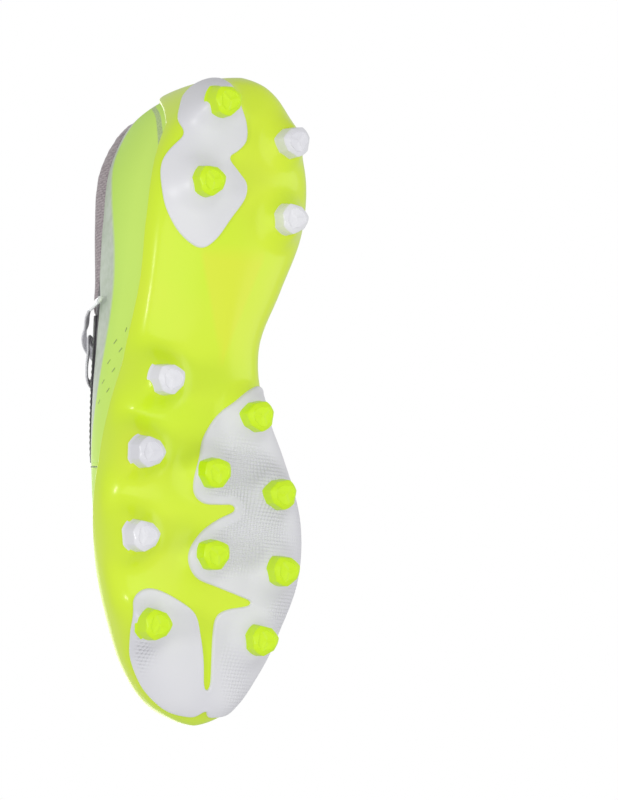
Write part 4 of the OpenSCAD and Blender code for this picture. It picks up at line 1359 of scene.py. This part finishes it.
def yarn_cloth(name, dark, light, yarn_mm, depth_mm, roughness=0.85, sheen=0.3):
    """Cloth with yarns yarn_mm apart. A wave texture's scale is about pi / 10 over what it repeats in."""
    made, tree, shader = start_material(name)
    place = add(tree, "ShaderNodeTexCoord")
    turned = add(tree, "ShaderNodeMapping", Vector=(place, "Object"), Rotation=YARN_TURN)
    warp, weft = (add(tree, "ShaderNodeTexWave", {"bands_direction": axis}, Vector=(turned, "Vector"),
                      Scale=WAVE_SCALE / (yarn_mm * MM), Distortion=1.0, Detail=1.0) for axis in "XY")
    weave = add(tree, "ShaderNodeMath", {"operation": "MULTIPLY"}, _0=(warp, "Fac"), _1=(weft, "Fac"))
    speck = add(tree, "ShaderNodeTexNoise", Vector=(place, "Object"), Scale=0.9 / (yarn_mm * MM), Detail=2.0)
    both = add(tree, "ShaderNodeMath", {"operation": "MULTIPLY_ADD"}, _0=(weave, "Value"), _1=0.5,
               _2=(speck, "Fac"))
    # Colour from the weave's height and a random speck: the darker hollows are painted shade and the lighter
    # yarn tops painted highlight; the speck is the yarn's own tone.
    tint = ramp(tree, (both, "Value"), [(0.4, dark), (0.85, light)])
    bump = add(tree, "ShaderNodeBump", Strength=0.6, Distance=depth_mm * MM, Height=(weave, "Value"))
    set_sockets(tree, shader, Base_Color=(tint, "Color"), Roughness=roughness, Normal=(bump, "Normal"),
                IOR=1.45, Sheen_Weight=sheen)
    return made


dress([collar], yarn_cloth("melange_knit_pink_grey", "#8d8287", "#b5abae", 1.0, 0.2))
dress([tongue], yarn_cloth("charcoal_knit", "#2c2b2f", "#4a494e", 1.2, 0.25))
dress([lining], yarn_cloth("charcoal_brushed_knit", "#2e2c30", "#434146", 0.9, 0.15))
dress([sock], yarn_cloth("sockliner_cloth", "#9da3a6", "#c2c7c9", 1.1, 0.15))
dress([board], yarn_cloth("lasting_board_felt", "#bdb7a6", "#d8d4c8", 1.4, 0.1))
dress([label], yarn_cloth("woven_patch", "#a7b0a4", "#c8cfc5", 0.8, 0.1))
lace_cloth = yarn_cloth("white_braid", "#cfcfd4", "#efeff2", 0.8, 0.22, roughness=0.7, sheen=0.2)
dress([lace_rows, knot] + loops + tails, lace_cloth)
eyestay_film = yarn_cloth("charcoal_film", "#333136", "#413f44", 1.6, 0.06, roughness=0.5, sheen=0.05)
dress(panels + [hole_rims], eyestay_film)
aglet_plastic = moulded_plastic("clear_sleeve", "#dfe2e4", "#e8eaec", 0.2, 2.0, 0.04)
dress([aglet_outer, aglet_inner], aglet_plastic)
dress([stitching], yarn_cloth("grey_green_thread", "#7d857a", "#a3aa9f", 0.5, 0.05))
# Darker lime for the slits: painted shade inside the cuts.
dress([slits], yarn_cloth("slit_painted_shade", "#93ad57", "#a9c368", 0.6, 0.05))
stiff_sheet = yarn_cloth("thermoformed_sheet", "#cfc8b4", "#e4dccb", 2.0, 0.05, roughness=0.6, sheen=0.0)
for name in ("heel_stiffener", "toe_puff"):
    dress([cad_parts[name]], stiff_sheet)

# %% [markdown]
# ## Stage
# The cleat is shown sole up to the camera on plain white. The floor is a pale sheet under the studs
# that shows only from above and casts nothing, so it never stands between the camera and the sole.

# %% Floor, light and background
FLOOR_SIZE = 6.0
FLOOR_DROP = 0.2
floor_corners = np.array([[-1, -1, 0], [1, -1, 0], [1, 1, 0], [-1, 1, 0]]) * FLOOR_SIZE / 2 / MM
floor = make_object("floor", floor_corners - [0, 0, FLOOR_DROP], [[0, 1, 2, 3]], smooth=False)
floor_paint, tree, shader = start_material("pale_floor")
grain = add(tree, "ShaderNodeTexNoise", Scale=40.0)
floor_tint = ramp(tree, (grain, "Fac"), [(0.3, "#eeeeee"), (0.7, "#f2f2f2")])
set_sockets(tree, shader, Base_Color=(floor_tint, "Color"), Roughness=0.9)
side_seen = add(tree, "ShaderNodeNewGeometry")
clear = add(tree, "ShaderNodeBsdfTransparent")
mix = add(tree, "ShaderNodeMixShader", Fac=(side_seen, "Backfacing"), _1=(shader, "BSDF"), _2=(clear, "BSDF"))
set_sockets(tree, tree.nodes["Material Output"], Surface=(mix, "Shader"))
dress([floor], floor_paint)
for switch in ("visible_diffuse", "visible_glossy", "visible_shadow", "visible_transmission"):
    setattr(floor, switch, False)

world = bpy.data.worlds.new("studio")
bpy.context.scene.world = world
world.use_nodes = True
sky = world.node_tree
WHITE = (1, 1, 1, 1)
lit = sky.nodes["Background"]
set_sockets(sky, lit, Color=WHITE, Strength=0.60)
seen = add(sky, "ShaderNodeBackground", Color=WHITE, Strength=1.0)
path_kind = add(sky, "ShaderNodeLightPath")
chosen = add(sky, "ShaderNodeMixShader", Fac=(path_kind, "Is Camera Ray"), _1=(lit, "Background"),
             _2=(seen, "Background"))
set_sockets(sky, sky.nodes["World Output"], Surface=(chosen, "Shader"))


def soft_box(name, at, aim, size, power):
    """A soft rectangular light at a place, aimed at a point, in metres and watts."""
    data = bpy.data.lights.new(name, "AREA")
    data.shape = "RECTANGLE"
    data.size, data.size_y = size
    data.energy = power
    made = bpy.data.objects.new(name, data)
    made.location = at
    made.rotation_euler = (Vector(aim) - Vector(at)).to_track_quat("-Z", "Y").to_euler()
    bpy.context.collection.objects.link(made)
    return made


soft_box("key_below", (-0.30, 0.16, -1.3), (0, 0.02, 0.03), (1.3, 1.5), 6)
soft_box("side_strip", (-1.1, 0.13, -0.42), (0, 0.05, 0.03), (0.32, 0.14), 3.2)
soft_box("inner_fill", (1.0, -0.1, -0.6), (0, 0, 0.03), (0.9, 0.9), 3)
soft_box("top_fill", (0.3, 0.2, 1.3), (0, 0, 0.05), (1.1, 1.1), 7)
bpy.context.scene.view_settings.view_transform = "Standard"
